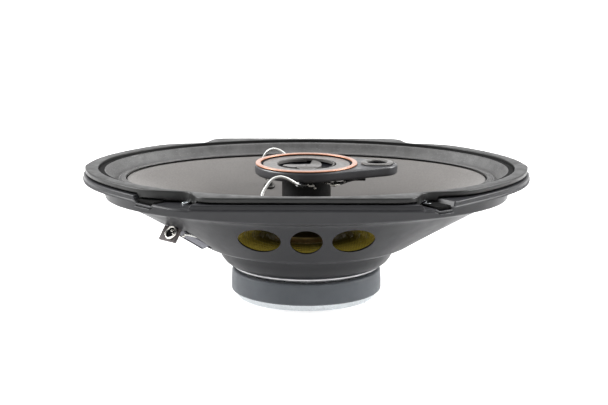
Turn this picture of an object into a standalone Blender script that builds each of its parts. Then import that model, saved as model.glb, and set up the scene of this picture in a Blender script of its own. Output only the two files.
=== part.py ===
"""Oval coaxial car speaker, 6x8 inch class, lying on its magnet.

The origin is the centre of the back plate's underside. +X runs along the oval's long axis,
+Z points out of the cone. Every size below is in millimetres, and MM turns it into metres.
"""
import math

import bmesh
import bpy
from mathutils import Matrix, Vector

MM = 0.001

# Flange and gasket, seen from the front. A "diagonal" bounds |x| + |y| at the four corners.
FLANGE_HALF_LENGTH = 113.8
FLANGE_HALF_WIDTH = 81.5
FLANGE_DIAGONAL = 141.5
GASKET_HALF_LENGTH = 112.8
GASKET_HALF_WIDTH = 79.6
GASKET_DIAGONAL = 138.5
NOTCH_HALF_WIDTH = 64.5          # the gasket steps in to this at the screw ears
NOTCH_ANGLES = (49.5, 55.0)      # degrees over which the gasket steps back out
LONG_EAR = (36.0, 56.0)          # degrees between which the flange drops to a screw ear
SHORT_EAR = (46.3, 56.0)         # the same, at the other two corners
END_ROUNDING = 10.0
SIDE_ROUNDING = 24.0
FLANGE_POINTS = 64               # points round the flange, whose corners fall on them
SCREW_HOLE = (56.4, 67.0)
SCREW_HOLE_RADIUS = 1.6

# Heights of the frame
RIM_BOTTOM_Z = 60.0
RIM_TOP_Z = 63.2
EAR_TOP_Z = 61.0
FLANGE_TOP_Z = 63.6
SHEET = 1.2
GASKET_Z = (63.9, 66.3)
GASKET_SKIRT = 2.0               # width of the gasket's lower edge, which covers the flange's step
GAP = 0.3
WALL_BOTTOM_Z = 52.0
LEDGE_Z = 28.4
FLOOR_Z = 16.5

# Ovals, as (half length, half width)
GASKET_INNER = (104.4, 75.0)
OPENING = (101.2, 72.8)
WALL_BOTTOM = (100.2, 66.0)
CONE_WALL_TOP = (92.0, 62.0)
LEDGE_EDGE = (52.5, 49.5)
LEDGE = (49.4, 48.4)

# The round bowl below the ledge, as (radius, height) of its inner face
BOWL = [(44.4, LEDGE_Z), (42.2, 21.4), (40.2, 18.2), (37.4, FLOOR_Z), (20.0, FLOOR_Z)]

# Windows in the frame's sloping wall
WINDOW_Z = 39.6
WINDOW_RADIUS = 7.8
WINDOW_PITCH = 23.2              # degrees between the three windows of one long side
WINDOW_TILT = 32.0
WINDOW_STRETCH = 1.32            # width of the outer two against the middle one

# The surround's upper face, from its outer lip inwards, as (oval, height)
SURROUND = [
    ((103.0, 74.5), 64.9),
    ((100.4, 71.3), 64.9),
    ((99.4, 70.0), 62.6),
    ((97.6, 67.9), 60.2),
    ((95.4, 65.4), 59.6),
    ((92.8, 62.9), 61.1),
    ((89.0, 59.0), 61.1),
]
SURROUND_THICKNESS = 0.6

# Moving parts
CONE_EDGE = (92.3, 62.3)
CONE_EDGE_Z = 60.1
CONE_LIP = 4.0
CONE_THICKNESS = 0.8
NECK_RADIUS = 13.7
NECK_Z = 33.0
CONE_BOW = 1.6
FORMER_RADII = (12.9, 13.2)
FORMER_Z = (9.3, 33.5)
WINDING_RADII = (13.4, 14.0)
WINDING_Z = (9.5, 17.5)
SPIDER_RIM = (48.2, 45.4)        # the flat rim that is glued to the ledge
SPIDER_RIM_Z = 29.4
SPIDER_WAVES = 4
SPIDER_WAVE_RADII = (43.2, 17.6)
SPIDER_CREST_Z = 31.1
SPIDER_TROUGH_Z = 29.1
SPIDER_NECK = (13.9, 29.6)
SPIDER_THICKNESS = 0.5

# Motor
PLATE_RADIUS = 35.1
PLATE_TOP_Z = 4.2
POLE_RADIUS = 12.2
POLE_TOP_Z = 15.0
POLE_BORE = 4.0
MAGNET_RADII = (18.0, 34.0)
MAGNET_Z = (4.5, 11.7)
FRONT_PLATE_RADII = (14.6, 33.8)
FRONT_PLATE_Z = (12.0, 15.0)
BOOT_RADIUS = 37.9
BOOT_Z = (3.4, 13.9)
BOOT_INNER = 35.5
BOOT_LIP = (34.3, 1.4)           # inner radius and depth of the lip over the front plate
RIVET_CIRCLE = 29.0
RIVET_Z = (16.8, 17.9)
RIVET_RADIUS = 2.4
BOLT_RADIUS = 2.5
BOLT_HEAD_RADIUS = 3.6
BOLT_HEAD_Z = (0.8, 3.4)
BOLT_TOP_Z = 26.0

# Tweeter pod
POST_RADIUS = 12.3
POST_Z = (15.3, 62.1)
POST_BORE = 10.0
POST_BORE_Z = 54.7
POD_RADIUS = 26.0
ARM_X = 36.0
ARM_RADIUS = 9.8
POD_Z = (62.4, 67.4)
POD_FLOOR_Z = 63.2
POD_CAVITY = 23.7
ARM_CAVITY = 7.5
MOTOR_HOLE = 9.5                 # hole in the pod's floor over the midrange's motor
RING_RADII = (22.4, 25.6)
RING_Z = (67.7, 68.3)
DIFFUSER_RADIUS = 21.8
SWIRL_START = 9.0                # radius where a slot of the diffuser starts
SWIRL_STEP = 12.0                # degrees between the points of a slot's edge
MIDRANGE_YOKE = (8.6, 9.6)
MIDRANGE_YOKE_Z = (55.0, 62.0)
MIDRANGE_MAGNET = (6.8, (56.7, 60.0))
MIDRANGE_POLE_PLATE = (7.1, (60.3, 61.8))
MIDRANGE_COIL = ((7.5, 8.1), (59.0, 63.4))
TWEETER_COIL = ((4.2, 4.6), (64.4, 65.6))
TWEETER_MAGNET_RADIUS = 3.8
TWEETER_YOKE_RADII = (5.0, 7.1)
TWEETER_MOTOR_Z = (63.5, 65.3)

# Leads from the post to the cone. A lug is an angle in degrees and a length.
LUGS = {"lead_lug_front": (-87.0, 8.0), "lead_lug_side": (-50.0, 9.5), "lead_lug_back": (104.0, 8.0)}
LUG_Z = 60.0
LUG_WIDTH = 3.0
LUG_THICKNESS = 0.6
EYELET_X = -19.3
EYELET_Y = 38.7
CAPACITOR_AT = (25.5, 3.0, 60.0)
CAPACITOR_RADIUS = 2.0
CAPACITOR_HALF_LENGTH = 4.4
TINSEL_RADIUS = 0.7
FRONT_LEAD = [
    (-0.7, -19.0, 61.4), (-2.0, -23.0, 61.2), (-3.6, -27.6, 61.9), (-6.6, -29.4, 64.0),
    (-9.8, -29.8, 65.8), (-13.4, -30.2, 66.5), (-16.8, -30.8, 65.2), (-19.4, -31.4, 62.0),
    (-21.4, -32.6, 58.4), (-21.8, -35.0, 54.4), (-20.6, -38.1, 51.3)]
BACK_LEAD = [
    (-4.9, 19.0, 61.4), (-6.4, 23.4, 61.3), (-8.6, 27.8, 62.9), (-11.0, 30.2, 66.2),
    (-14.2, 31.4, 68.4), (-17.6, 32.0, 68.9), (-20.6, 32.6, 67.2), (-22.6, 33.2, 63.6),
    (-23.4, 34.6, 59.0), (-22.8, 36.6, 54.4), (-20.6, 38.3, 51.4)]

# Lead terminals on the frame: the slot and the strip that carries the board
TERMINAL_ANGLE = 206.5
STRIP_START = (55.5, 29.8)       # radius and height of the strip's lower end
STRIP_END = (69.5, 39.0)
STRIP_WIDTH = 4.6
BOARD_ANGLE = 226.6
BOARD_TILT = 35.0                # degrees that the board leans in from the vertical
BOARD_FOOT = (-68.0, -34.0, 35.2)
BOARD_SIZE = (6.8, 11.0, 1.6)
TAB_LENGTH = 5.6
TAB_THICKNESS = 0.8
TABS = {"terminal_tab_positive": (2.6, 4.2), "terminal_tab_negative": (-3.0, 2.8)}
TERMINAL_RIVET = ((1.9, 3.2), (0.0, 1.1))
TERMINAL_SLOT = (11.0, 17.0, 14.0)
REAR_LEAD_RADIUS = 0.6
REAR_LEAD_OFFSET = 3.9           # each rear lead passes the strip at this distance from its middle

# The rear leads, as distance inward from the slot and height above it
REAR_LEAD = [(0, 0), (3.4, -0.8), (8.0, -2.4), (14.0, -4.7), (20.0, -4.4), (25.4, -1.4), (27.2, 2.1)]

PARTS_NAME = "coaxial_speaker"


def clear_scene():
    """Remove what the start-up file holds."""
    for item in list(bpy.data.objects):
        bpy.data.objects.remove(item)


def make_collection(name):
    group = bpy.data.collections.new(name)
    bpy.context.scene.collection.children.link(group)
    return group


def finish_object(obj, colour, roughness, metallic=0.0, smooth=True):
    """Give an object its own Principled material, and shade its round faces smooth."""
    finish = bpy.data.materials.new(obj.name)
    finish.use_nodes = True
    shader = finish.node_tree.nodes["Principled BSDF"]
    shader.inputs["Base Color"].default_value = (*colour, 1.0)
    shader.inputs["Roughness"].default_value = roughness
    shader.inputs["Metallic"].default_value = metallic
    finish.diffuse_color = (*colour, 1.0)
    obj.data.materials.clear()
    obj.data.materials.append(finish)
    if smooth:
        obj.data.shade_smooth()
        obj.data.set_sharp_from_angle(angle=math.radians(35))
    return obj


def add_mesh(name, points, faces, edges=(), group=None):
    """Make an object from points in millimetres."""
    mesh = bpy.data.meshes.new(name)
    mesh.from_pydata([Vector(point) * MM for point in points], edges, faces)
    obj = bpy.data.objects.new(name, mesh)
    (group or PARTS).objects.link(obj)
    return obj


def bake(obj):
    """Replace an object's mesh by what its modifiers make of it."""
    depsgraph = bpy.context.evaluated_depsgraph_get()
    mesh = bpy.data.meshes.new_from_object(obj.evaluated_get(depsgraph))
    mesh.name = obj.name
    obj.modifiers.clear()
    obj.data = mesh
    return obj


def turned(name, profile, steps=36, ring=True):
    """Turn a profile of (radius, height) about Z. It runs down its outer side; a ring closes on itself."""
    count = len(profile)
    last = count if ring else count - 1
    edges = [(i, (i + 1) % count) for i in range(last)]
    obj = add_mesh(name, [(radius, 0, height) for radius, height in profile], [], edges)
    screw = obj.modifiers.new("Turn", "SCREW")
    screw.steps = steps
    screw.render_steps = steps
    screw.use_merge_vertices = True
    screw.merge_threshold = 0.00001
    return bake(obj)


def hollow_ring(name, radii, heights, steps=36):
    """A plain tube or washer."""
    (inner, outer), (low, high) = radii, heights
    return turned(name, [(outer, high), (outer, low), (inner, low), (inner, high)], steps)


def disc(name, radius, heights, steps=24):
    low, high = heights
    return turned(name, [(0, high), (radius, high), (radius, low), (0, low)], steps, ring=False)


def shell(name, loops, thickness):
    """Skin equal loops of points, and thicken the skin on its under side."""
    count = len(loops[0])
    points = [point for loop in loops for point in loop]
    faces = []
    for band in range(len(loops) - 1):
        for i in range(count):
            j = (i + 1) % count
            outer, inner = band * count, (band + 1) * count
            faces.append((outer + i, outer + j, inner + j, inner + i))
    obj = add_mesh(name, points, faces)
    solidify = obj.modifiers.new("Thickness", "SOLIDIFY")
    solidify.thickness = thickness * MM
    solidify.offset = -1.0
    solidify.use_even_offset = True
    return bake(obj)


def closed_ring(name, loops):
    """A solid ring through equal loops, which run up its outside, inwards and back."""
    count, sides = len(loops[0]), len(loops)
    faces = []
    for band in range(sides):
        start, end = band * count, (band + 1) % sides * count
        for i in range(count):
            j = (i + 1) % count
            faces.append((start + i, start + j, end + j, end + i))
    return add_mesh(name, [point for loop in loops for point in loop], faces)


def stacked(name, layers, group=None):
    """A closed solid through equal outlines, listed from the lowest to the highest."""
    count = len(layers[0])
    points = [point for layer in layers for point in layer]
    faces = [tuple(reversed(range(count)))]
    for band in range(len(layers) - 1):
        for i in range(count):
            j = (i + 1) % count
            low, high = band * count, (band + 1) * count
            faces.append((low + i, low + j, high + j, high + i))
    faces.append(tuple(range((len(layers) - 1) * count, len(layers) * count)))
    return add_mesh(name, points, faces, group=group)


def cutter_cylinder(name, radius, depth, matrix, sides=20):
    """A cylinder that is only used for cutting. Its matrix places it in millimetres."""
    mesh = bpy.data.meshes.new(name)
    cage = bmesh.new()
    bmesh.ops.create_cone(cage, cap_ends=True, segments=sides, radius1=radius * MM,
                          radius2=radius * MM, depth=depth * MM)
    cage.to_mesh(mesh)
    cage.free()
    return place_cutter(name, mesh, matrix)


def cutter_box(name, size, matrix):
    """A box that is only used for cutting."""
    mesh = bpy.data.meshes.new(name)
    cage = bmesh.new()
    bmesh.ops.create_cube(cage, size=1.0)
    bmesh.ops.scale(cage, vec=Vector(size) * MM, verts=cage.verts)
    cage.to_mesh(mesh)
    cage.free()
    return place_cutter(name, mesh, matrix)


def place_cutter(name, mesh, matrix):
    cutter = bpy.data.objects.new(name, mesh)
    CUTTERS.objects.link(cutter)
    cutter.matrix_world = Matrix.LocRotScale(matrix.translation * MM, matrix.to_quaternion(),
                                             matrix.to_scale())
    cutter.hide_render = True
    cutter.display_type = "WIRE"
    return cutter


def drill(obj, cutters):
    """Cut holes with the exact solver."""
    for cutter in cutters:
        boolean = obj.modifiers.new(cutter.name, "BOOLEAN")
        boolean.operation = "DIFFERENCE"
        boolean.solver = "EXACT"
        boolean.object = cutter
    bpy.context.view_layer.update()
    return bake(obj)


def frame_at(origin, forward, across):
    """A matrix with local Z along forward and local X along across, at a point in millimetres."""
    z_axis = Vector(forward).normalized()
    x_axis = Vector(across).normalized()
    y_axis = z_axis.cross(x_axis)
    matrix = Matrix((x_axis, y_axis, z_axis)).transposed().to_4x4()
    matrix.translation = Vector(origin)
    return matrix


def spread(count):
    """Polar angles round the full turn."""
    return [math.tau * i / count for i in range(count)]


def smooth_step(low, high, value):
    share = min(1.0, max(0.0, (value - low) / (high - low)))
    return share * share * (3 - 2 * share)


def oval_radius(angle, half_length, half_width):
    """Polar radius of an ellipse."""
    return 1.0 / math.hypot(math.cos(angle) / half_length, math.sin(angle) / half_width)


def cornered_radius(angle, half_length, half_width, diagonal):
    """Polar radius of the flange's outline: straight long sides, cut corners and rounded ends."""
    across, along = abs(math.sin(angle)), abs(math.cos(angle))
    end = ((along / half_length) ** END_ROUNDING
           + ((across + along) / diagonal) ** END_ROUNDING) ** (1 / END_ROUNDING)
    side = across / half_width
    return (end ** SIDE_ROUNDING + side ** SIDE_ROUNDING) ** (-1 / SIDE_ROUNDING)


def quadrant_degrees(angle):
    """An angle folded into the first quadrant, in degrees."""
    return math.degrees(math.atan2(abs(math.sin(angle)), abs(math.cos(angle))))


def flange_radius(angle):
    return cornered_radius(angle, FLANGE_HALF_LENGTH, FLANGE_HALF_WIDTH, FLANGE_DIAGONAL)


def gasket_radius(angle):
    """The gasket's outline, with its four notches round the screw ears."""
    full = cornered_radius(angle, GASKET_HALF_LENGTH, GASKET_HALF_WIDTH, GASKET_DIAGONAL)
    across = max(abs(math.sin(angle)), 0.01)
    notched = min(full, NOTCH_HALF_WIDTH / across)
    share = smooth_step(*NOTCH_ANGLES, quadrant_degrees(angle))
    return notched + (full - notched) * share


def loop_at(angles, radius_of, height_of):
    """A closed loop of points from a polar radius and a height, both functions of the angle."""
    return [(radius_of(t) * math.cos(t), radius_of(t) * math.sin(t), height_of(t)) for t in angles]


def oval_loop(angles, halves, height):
    return loop_at(angles, lambda t: oval_radius(t, *halves), lambda t: height)


def mix(low, high, share):
    return tuple(a + (b - a) * share for a, b in zip(low, high))


def is_ear(angle):
    """The flange drops at four screw ears, of which two opposite ones are longer."""
    low, high = LONG_EAR if math.sin(angle) * math.cos(angle) > 0 else SHORT_EAR
    return low < quadrant_degrees(angle) < high


def rim_top(angle):
    """Height of the flange's outer edge, which is lower at the screw ears."""
    return EAR_TOP_Z if is_ear(angle) else RIM_TOP_Z


def build_basket():
    """The stamped frame, as one sheet from the turned-down rim to the floor round the pole."""
    angles = spread(FLANGE_POINTS)

    loops = [
        loop_at(angles, flange_radius, lambda t: RIM_BOTTOM_Z),
        loop_at(angles, flange_radius, rim_top),
        loop_at(angles, lambda t: gasket_radius(t) - GASKET_SKIRT - 0.7, rim_top),
        loop_at(angles, lambda t: gasket_radius(t) - GASKET_SKIRT - 1.7, lambda t: FLANGE_TOP_Z),
        oval_loop(angles, OPENING, FLANGE_TOP_Z),
        oval_loop(angles, WALL_BOTTOM, WALL_BOTTOM_Z),
        oval_loop(angles, CONE_WALL_TOP, WALL_BOTTOM_Z - 1.8),
        oval_loop(angles, LEDGE_EDGE, LEDGE_Z + 1.0),
        oval_loop(angles, LEDGE, LEDGE_Z),
    ]
    loops += [oval_loop(angles, (radius, radius), height) for radius, height in BOWL]
    basket = shell("basket", loops, SHEET)
    drill(basket, window_cutters() + screw_hole_cutters() + [terminal_slot_cutter()])
    return finish_object(basket, (0.09, 0.09, 0.10), 0.45, 0.6)


def window_cutters():
    """Three windows in each long side: a round one between two wider ones."""
    depth, tilt = 26.0, math.radians(WINDOW_TILT)
    cutters = []
    for side in (-1, 1):
        for place in (-1, 0, 1):
            angle = math.radians(90 * side + WINDOW_PITCH * place)
            radius = 58.0 + 2.2 * abs(place)
            plan = Vector((math.cos(angle), math.sin(angle), 0))
            across = Vector((-plan.y, plan.x, 0))
            forward = plan * math.cos(tilt) - Vector((0, 0, math.sin(tilt)))
            matrix = frame_at(plan * radius + Vector((0, 0, WINDOW_Z)), forward, across)
            stretch = WINDOW_STRETCH if place else 1.0
            matrix = matrix @ Matrix.Diagonal((stretch, 1, 1, 1))
            cutters.append(cutter_cylinder(f"window_{side}_{place}", WINDOW_RADIUS, depth, matrix))
    return cutters


def screw_hole_cutters():
    """One hole through each of the four ears."""
    cutters = []
    for x_side in (-1, 1):
        for y_side in (-1, 1):
            centre = (x_side * SCREW_HOLE[0], y_side * SCREW_HOLE[1], EAR_TOP_Z)
            name = f"screw_{x_side}_{y_side}"
            cutters.append(cutter_cylinder(name, SCREW_HOLE_RADIUS, 8, Matrix.Translation(centre), 16))
    return cutters


def terminal_axes():
    """The strip's lower end, and unit vectors along, across and out of the frame's sloping wall."""
    angle = math.radians(TERMINAL_ANGLE)
    plan = Vector((math.cos(angle), math.sin(angle), 0))
    start = plan * STRIP_START[0] + Vector((0, 0, STRIP_START[1]))
    end = plan * STRIP_END[0] + Vector((0, 0, STRIP_END[1]))
    along = (end - start).normalized()
    across = Vector((-plan.y, plan.x, 0))
    outward = across.cross(along)
    if outward.z > 0:
        outward = -outward
    return start, end, along, across, outward


def terminal_slot_cutter():
    """The slot behind the terminal strip, which lets the leads through."""
    start, end, _along, across, outward = terminal_axes()
    middle = (start + end) / 2 - outward * 3
    return cutter_box("terminal_slot", TERMINAL_SLOT, frame_at(middle, outward, across))


def build_gasket():
    """A ring on the flange. Its lower edge reaches down to the screw ears in the notches."""
    angles = spread(FLANGE_POINTS)
    low, high = GASKET_Z

    def foot(angle):
        return rim_top(angle) + GAP

    def skirt_radius(angle):
        return gasket_radius(angle) - GASKET_SKIRT

    gasket = closed_ring("front_gasket", [
        loop_at(angles, gasket_radius, foot),
        loop_at(angles, gasket_radius, lambda t: high),
        oval_loop(angles, GASKET_INNER, high),
        oval_loop(angles, GASKET_INNER, low),
        loop_at(angles, skirt_radius, lambda t: low),
        loop_at(angles, skirt_radius, foot)])
    return finish_object(gasket, (0.16, 0.16, 0.17), 0.35)


def build_surround():
    """A sunken roll: flat outer lip, steep outer wall, shallow trough, flat inner lip."""
    angles = spread(48)
    loops = [oval_loop(angles, halves, height) for halves, height in SURROUND]
    surround = shell("surround", loops, SURROUND_THICKNESS)
    return finish_object(surround, (0.12, 0.12, 0.12), 0.6)


def cone_station(share):
    """The oval and height of the cone's upper face, from its edge (0) to its neck (1)."""
    edge = (CONE_EDGE[0] - CONE_LIP, CONE_EDGE[1] - CONE_LIP)
    halves = mix(edge, (NECK_RADIUS, NECK_RADIUS), share)
    drop = (CONE_EDGE_Z - NECK_Z) * share + CONE_BOW * math.sin(math.pi * share)
    return halves, CONE_EDGE_Z - drop


def build_cone():
    angles = spread(48)
    loops = [oval_loop(angles, CONE_EDGE, CONE_EDGE_Z)]
    for share in (0.0, 0.33, 0.66, 1.0):
        halves, height = cone_station(share)
        loops.append(oval_loop(angles, halves, height))
    return finish_object(shell("cone", loops, CONE_THICKNESS), (0.22, 0.21, 0.20), 0.55)


def cone_surface(x, y):
    """Height and upward normal of the cone's upper face at a point inside it."""
    def height_at(px, py):
        low, high = 0.0, 1.0
        for _ in range(40):
            share = (low + high) / 2
            halves, _height = cone_station(share)
            outside = math.hypot(px / halves[0], py / halves[1]) > 1
            low, high = (low, share) if outside else (share, high)
        return cone_station(low)[1]

    step = 0.5
    rise_x = (height_at(x + step, y) - height_at(x - step, y)) / (2 * step)
    rise_y = (height_at(x, y + step) - height_at(x, y - step)) / (2 * step)
    return height_at(x, y), Vector((-rise_x, -rise_y, 1)).normalized()


def build_spider():
    """The corrugated disc that centres the voice coil, glued to the ledge and to the former."""
    angles = spread(32)
    profile = [(radius, SPIDER_RIM_Z) for radius in SPIDER_RIM]
    first, last = SPIDER_WAVE_RADII
    for i in range(2 * SPIDER_WAVES + 1):
        radius = first + (last - first) * i / (2 * SPIDER_WAVES)
        profile.append((radius, SPIDER_CREST_Z if i % 2 else SPIDER_TROUGH_Z))
    profile.append(SPIDER_NECK)
    loops = [oval_loop(angles, (radius, radius), height) for radius, height in profile]
    return finish_object(shell("spider", loops, SPIDER_THICKNESS), (0.62, 0.46, 0.12), 0.8)


def build_motor():
    """Back plate with its pole, magnet, front plate, boot, rivets and the bolt of the post."""
    plate = turned("back_plate", [
        (POLE_RADIUS, POLE_TOP_Z), (POLE_RADIUS, PLATE_TOP_Z), (PLATE_RADIUS - 0.5, PLATE_TOP_Z),
        (PLATE_RADIUS, PLATE_TOP_Z - 0.5), (PLATE_RADIUS, 0.5), (PLATE_RADIUS - 0.5, 0),
        (POLE_BORE, 0), (POLE_BORE, POLE_TOP_Z)])
    finish_object(plate, (0.72, 0.72, 0.73), 0.3, 1.0)
    magnet = hollow_ring("ferrite_magnet", MAGNET_RADII, MAGNET_Z)
    finish_object(magnet, (0.05, 0.05, 0.055), 0.7)
    front_plate = hollow_ring("front_plate", FRONT_PLATE_RADII, FRONT_PLATE_Z)
    finish_object(front_plate, (0.55, 0.55, 0.56), 0.35, 1.0)
    low, high = BOOT_Z
    lip_radius, lip_depth = BOOT_LIP
    boot = turned("magnet_boot", [
        (BOOT_RADIUS - 0.9, high), (BOOT_RADIUS, high - 0.9), (BOOT_RADIUS, low + 0.6),
        (BOOT_RADIUS - 0.6, low), (BOOT_INNER, low), (BOOT_INNER, high - lip_depth),
        (lip_radius, high - lip_depth), (lip_radius, high)])
    finish_object(boot, (0.06, 0.065, 0.075), 0.5)
    build_frame_rivets()
    low, high = BOLT_HEAD_Z
    bolt = turned("post_bolt", [
        (0, BOLT_TOP_Z), (BOLT_RADIUS, BOLT_TOP_Z), (BOLT_RADIUS, high), (BOLT_HEAD_RADIUS, high),
        (BOLT_HEAD_RADIUS, low), (BOLT_HEAD_RADIUS - 1.6, low), (BOLT_HEAD_RADIUS - 2.0, low + 1.0),
        (0, low + 1.0)], 18, ring=False)
    finish_object(bolt, (0.6, 0.6, 0.62), 0.3, 1.0)


def build_frame_rivets():
    """Four rivets through the frame's floor into the front plate."""
    low, high = RIVET_Z
    profile = [(0, high), (RIVET_RADIUS - 1.0, high - 0.2), (RIVET_RADIUS, low), (0, low)]
    for number, turn in enumerate(spread(4), start=1):
        angle = turn + math.radians(45)
        rivet = turned(f"frame_rivet_{number}", profile, 12, ring=False)
        rivet.location = Vector((math.cos(angle), math.sin(angle), 0)) * RIVET_CIRCLE * MM
        finish_object(rivet, (0.5, 0.5, 0.52), 0.35, 1.0)


def build_voice_coil():
    former = hollow_ring("voice_coil_former", FORMER_RADII, FORMER_Z, 24)
    finish_object(former, (0.55, 0.42, 0.2), 0.5)
    winding = hollow_ring("voice_coil_winding", WINDING_RADII, WINDING_Z, 24)
    finish_object(winding, (0.72, 0.36, 0.16), 0.35, 0.9)


def pod_outline(height, inset=0.0):
    """The teardrop seen from the front: a large arc and a small one, joined by straight sides."""
    big, small = POD_RADIUS - inset, ARM_RADIUS - inset
    meet = math.acos((big - small) / ARM_X)
    outline = []
    for i in range(9):
        angle = -meet + 2 * meet * i / 8
        outline.append((ARM_X + small * math.cos(angle), small * math.sin(angle), height))
    for i in range(25):
        angle = meet + (math.tau - 2 * meet) * i / 24
        outline.append((big * math.cos(angle), big * math.sin(angle), height))
    return outline


def build_pod():
    """Post, housing and the orange ring on top of it."""
    low, high = POST_Z
    post = turned("tweeter_post", [
        (0, POST_BORE_Z), (POST_BORE, POST_BORE_Z), (POST_BORE, high), (POST_RADIUS, high),
        (POST_RADIUS, low), (BOLT_RADIUS + 0.4, low), (BOLT_RADIUS + 0.4, BOLT_TOP_Z + 1.0),
        (0, BOLT_TOP_Z + 1.0)], ring=False)
    finish_object(post, (0.03, 0.03, 0.035), 0.4)
    low, high = POD_Z
    housing = stacked("tweeter_housing", [
        pod_outline(low, 0.9), pod_outline(low + 0.9), pod_outline(high - 0.7), pod_outline(high, 0.7)])
    cavity_depth = 10.0
    centre = POD_FLOOR_Z + cavity_depth / 2
    drill(housing, [
        cutter_cylinder("pod_cavity", POD_CAVITY, cavity_depth, Matrix.Translation((0, 0, centre)), 30),
        cutter_cylinder("arm_cavity", ARM_CAVITY, cavity_depth,
                        Matrix.Translation((ARM_X, 0, centre)), 20),
        cutter_cylinder("motor_hole", MOTOR_HOLE, cavity_depth,
                        Matrix.Translation((0, 0, POD_FLOOR_Z)), 24)])
    finish_object(housing, (0.07, 0.07, 0.075), 0.4)
    (inner, outer), (low, high) = RING_RADII, RING_Z
    trim = turned("trim_ring", [
        (outer - 0.4, high), (outer, high - 0.3), (outer, low), (inner, low), (inner, high - 0.3),
        (inner + 0.4, high)])
    finish_object(trim, (0.75, 0.33, 0.2), 0.3, 0.7)


def build_diffuser():
    """A dished disc with a hub, opened by three curved slots that swirl round the hub."""
    plate = turned("midrange_diffuser", [
        (0, 67.6), (3.0, 67.4), (6.0, 66.9), (DIFFUSER_RADIUS, 67.3), (DIFFUSER_RADIUS, 66.8),
        (6.0, 66.4), (0, 66.6)], 30, ring=False)
    cutters = []
    for number, turn in enumerate(spread(3)):
        outline = []
        for i in range(7):
            angle = turn + math.radians(SWIRL_STEP * i)
            radius = SWIRL_START + 1.3 * i
            outline.append((radius * math.cos(angle), radius * math.sin(angle)))
        for i in reversed(range(1, 7)):
            angle = turn + math.radians(SWIRL_STEP * i - 2)
            radius = SWIRL_START + 0.2 + 1.5 * i + 3.2 * math.sin(math.pi * i / 6.5)
            outline.append((radius * math.cos(angle), radius * math.sin(angle)))
        outline.reverse()
        layers = [[(x, y, height) for x, y in outline] for height in (60, 72)]
        cutter = stacked(f"swirl_{number}", layers, CUTTERS)
        cutter.hide_render = True
        cutter.display_type = "WIRE"
        cutters.append(cutter)
    drill(plate, cutters)
    return finish_object(plate, (0.42, 0.42, 0.43), 0.3)


def build_midrange():
    """The motor in the post's bore, and the diaphragm with its coil."""
    low, high = MIDRANGE_YOKE_Z
    inner, outer = MIDRANGE_YOKE
    yoke = turned("midrange_yoke", [
        (0, low + 1.4), (inner, low + 1.4), (inner, high), (outer, high), (outer, low), (0, low)],
        24, ring=False)
    finish_object(yoke, (0.6, 0.6, 0.61), 0.35, 1.0)
    finish_object(disc("midrange_magnet", *MIDRANGE_MAGNET), (0.5, 0.5, 0.52), 0.3, 1.0)
    finish_object(disc("midrange_pole_plate", *MIDRANGE_POLE_PLATE), (0.6, 0.6, 0.61), 0.35, 1.0)
    diaphragm = turned("midrange_diaphragm", [
        (0, 66.0), (4.5, 65.5), (9.0, 64.2), (20.6, 64.9), (21.8, 64.6), (23.3, 64.6),
        (23.3, 64.2), (21.8, 64.2), (20.6, 64.5), (9.0, 63.8), (4.5, 65.1), (0, 65.6)],
        24, ring=False)
    finish_object(diaphragm, (0.1, 0.1, 0.11), 0.5)
    coil = hollow_ring("midrange_coil", *MIDRANGE_COIL, 24)
    finish_object(coil, (0.72, 0.36, 0.16), 0.35, 0.9)


def build_super_tweeter():
    """A small dome tweeter in the housing's arm, under a washer-shaped bezel."""
    pieces = [
        (turned("super_tweeter_bezel", [
            (7.5, 68.4), (8.0, 68.1), (8.0, 67.7), (5.1, 67.7), (5.1, 68.1), (5.5, 68.4)], 24),
         (0.45, 0.45, 0.46), 0.3, 0.4),
        (turned("super_tweeter_dome", [
            (0, 67.3), (2.6, 67.0), (4.4, 66.2), (7.1, 66.2), (7.1, 65.9), (4.4, 65.9), (2.6, 66.7),
            (0, 67.0)], 16, ring=False),
         (0.1, 0.1, 0.11), 0.4, 0.0),
        (hollow_ring("super_tweeter_coil", *TWEETER_COIL, 20), (0.72, 0.36, 0.16), 0.35, 0.9),
        (disc("super_tweeter_magnet", TWEETER_MAGNET_RADIUS, TWEETER_MOTOR_Z, 20),
         (0.5, 0.5, 0.52), 0.3, 1.0),
        (hollow_ring("super_tweeter_yoke", TWEETER_YOKE_RADII, TWEETER_MOTOR_Z, 20),
         (0.6, 0.6, 0.61), 0.35, 1.0),
    ]
    for piece, colour, roughness, metallic in pieces:
        piece.location.x = ARM_X * MM
        finish_object(piece, colour, roughness, metallic)


def flat_box(name, centre, size, along, across):
    """A plain block: its length runs along one vector and its width across it."""
    along, across = Vector(along).normalized(), Vector(across).normalized()
    up = along.cross(across)
    length, width, thickness = size
    layers = []
    for level in (-0.5, 0.5):
        layers.append([Vector(centre) + along * length * i + across * width * j + up * thickness * level
                       for i, j in ((-0.5, -0.5), (0.5, -0.5), (0.5, 0.5), (-0.5, 0.5))])
    return stacked(name, layers)


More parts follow.
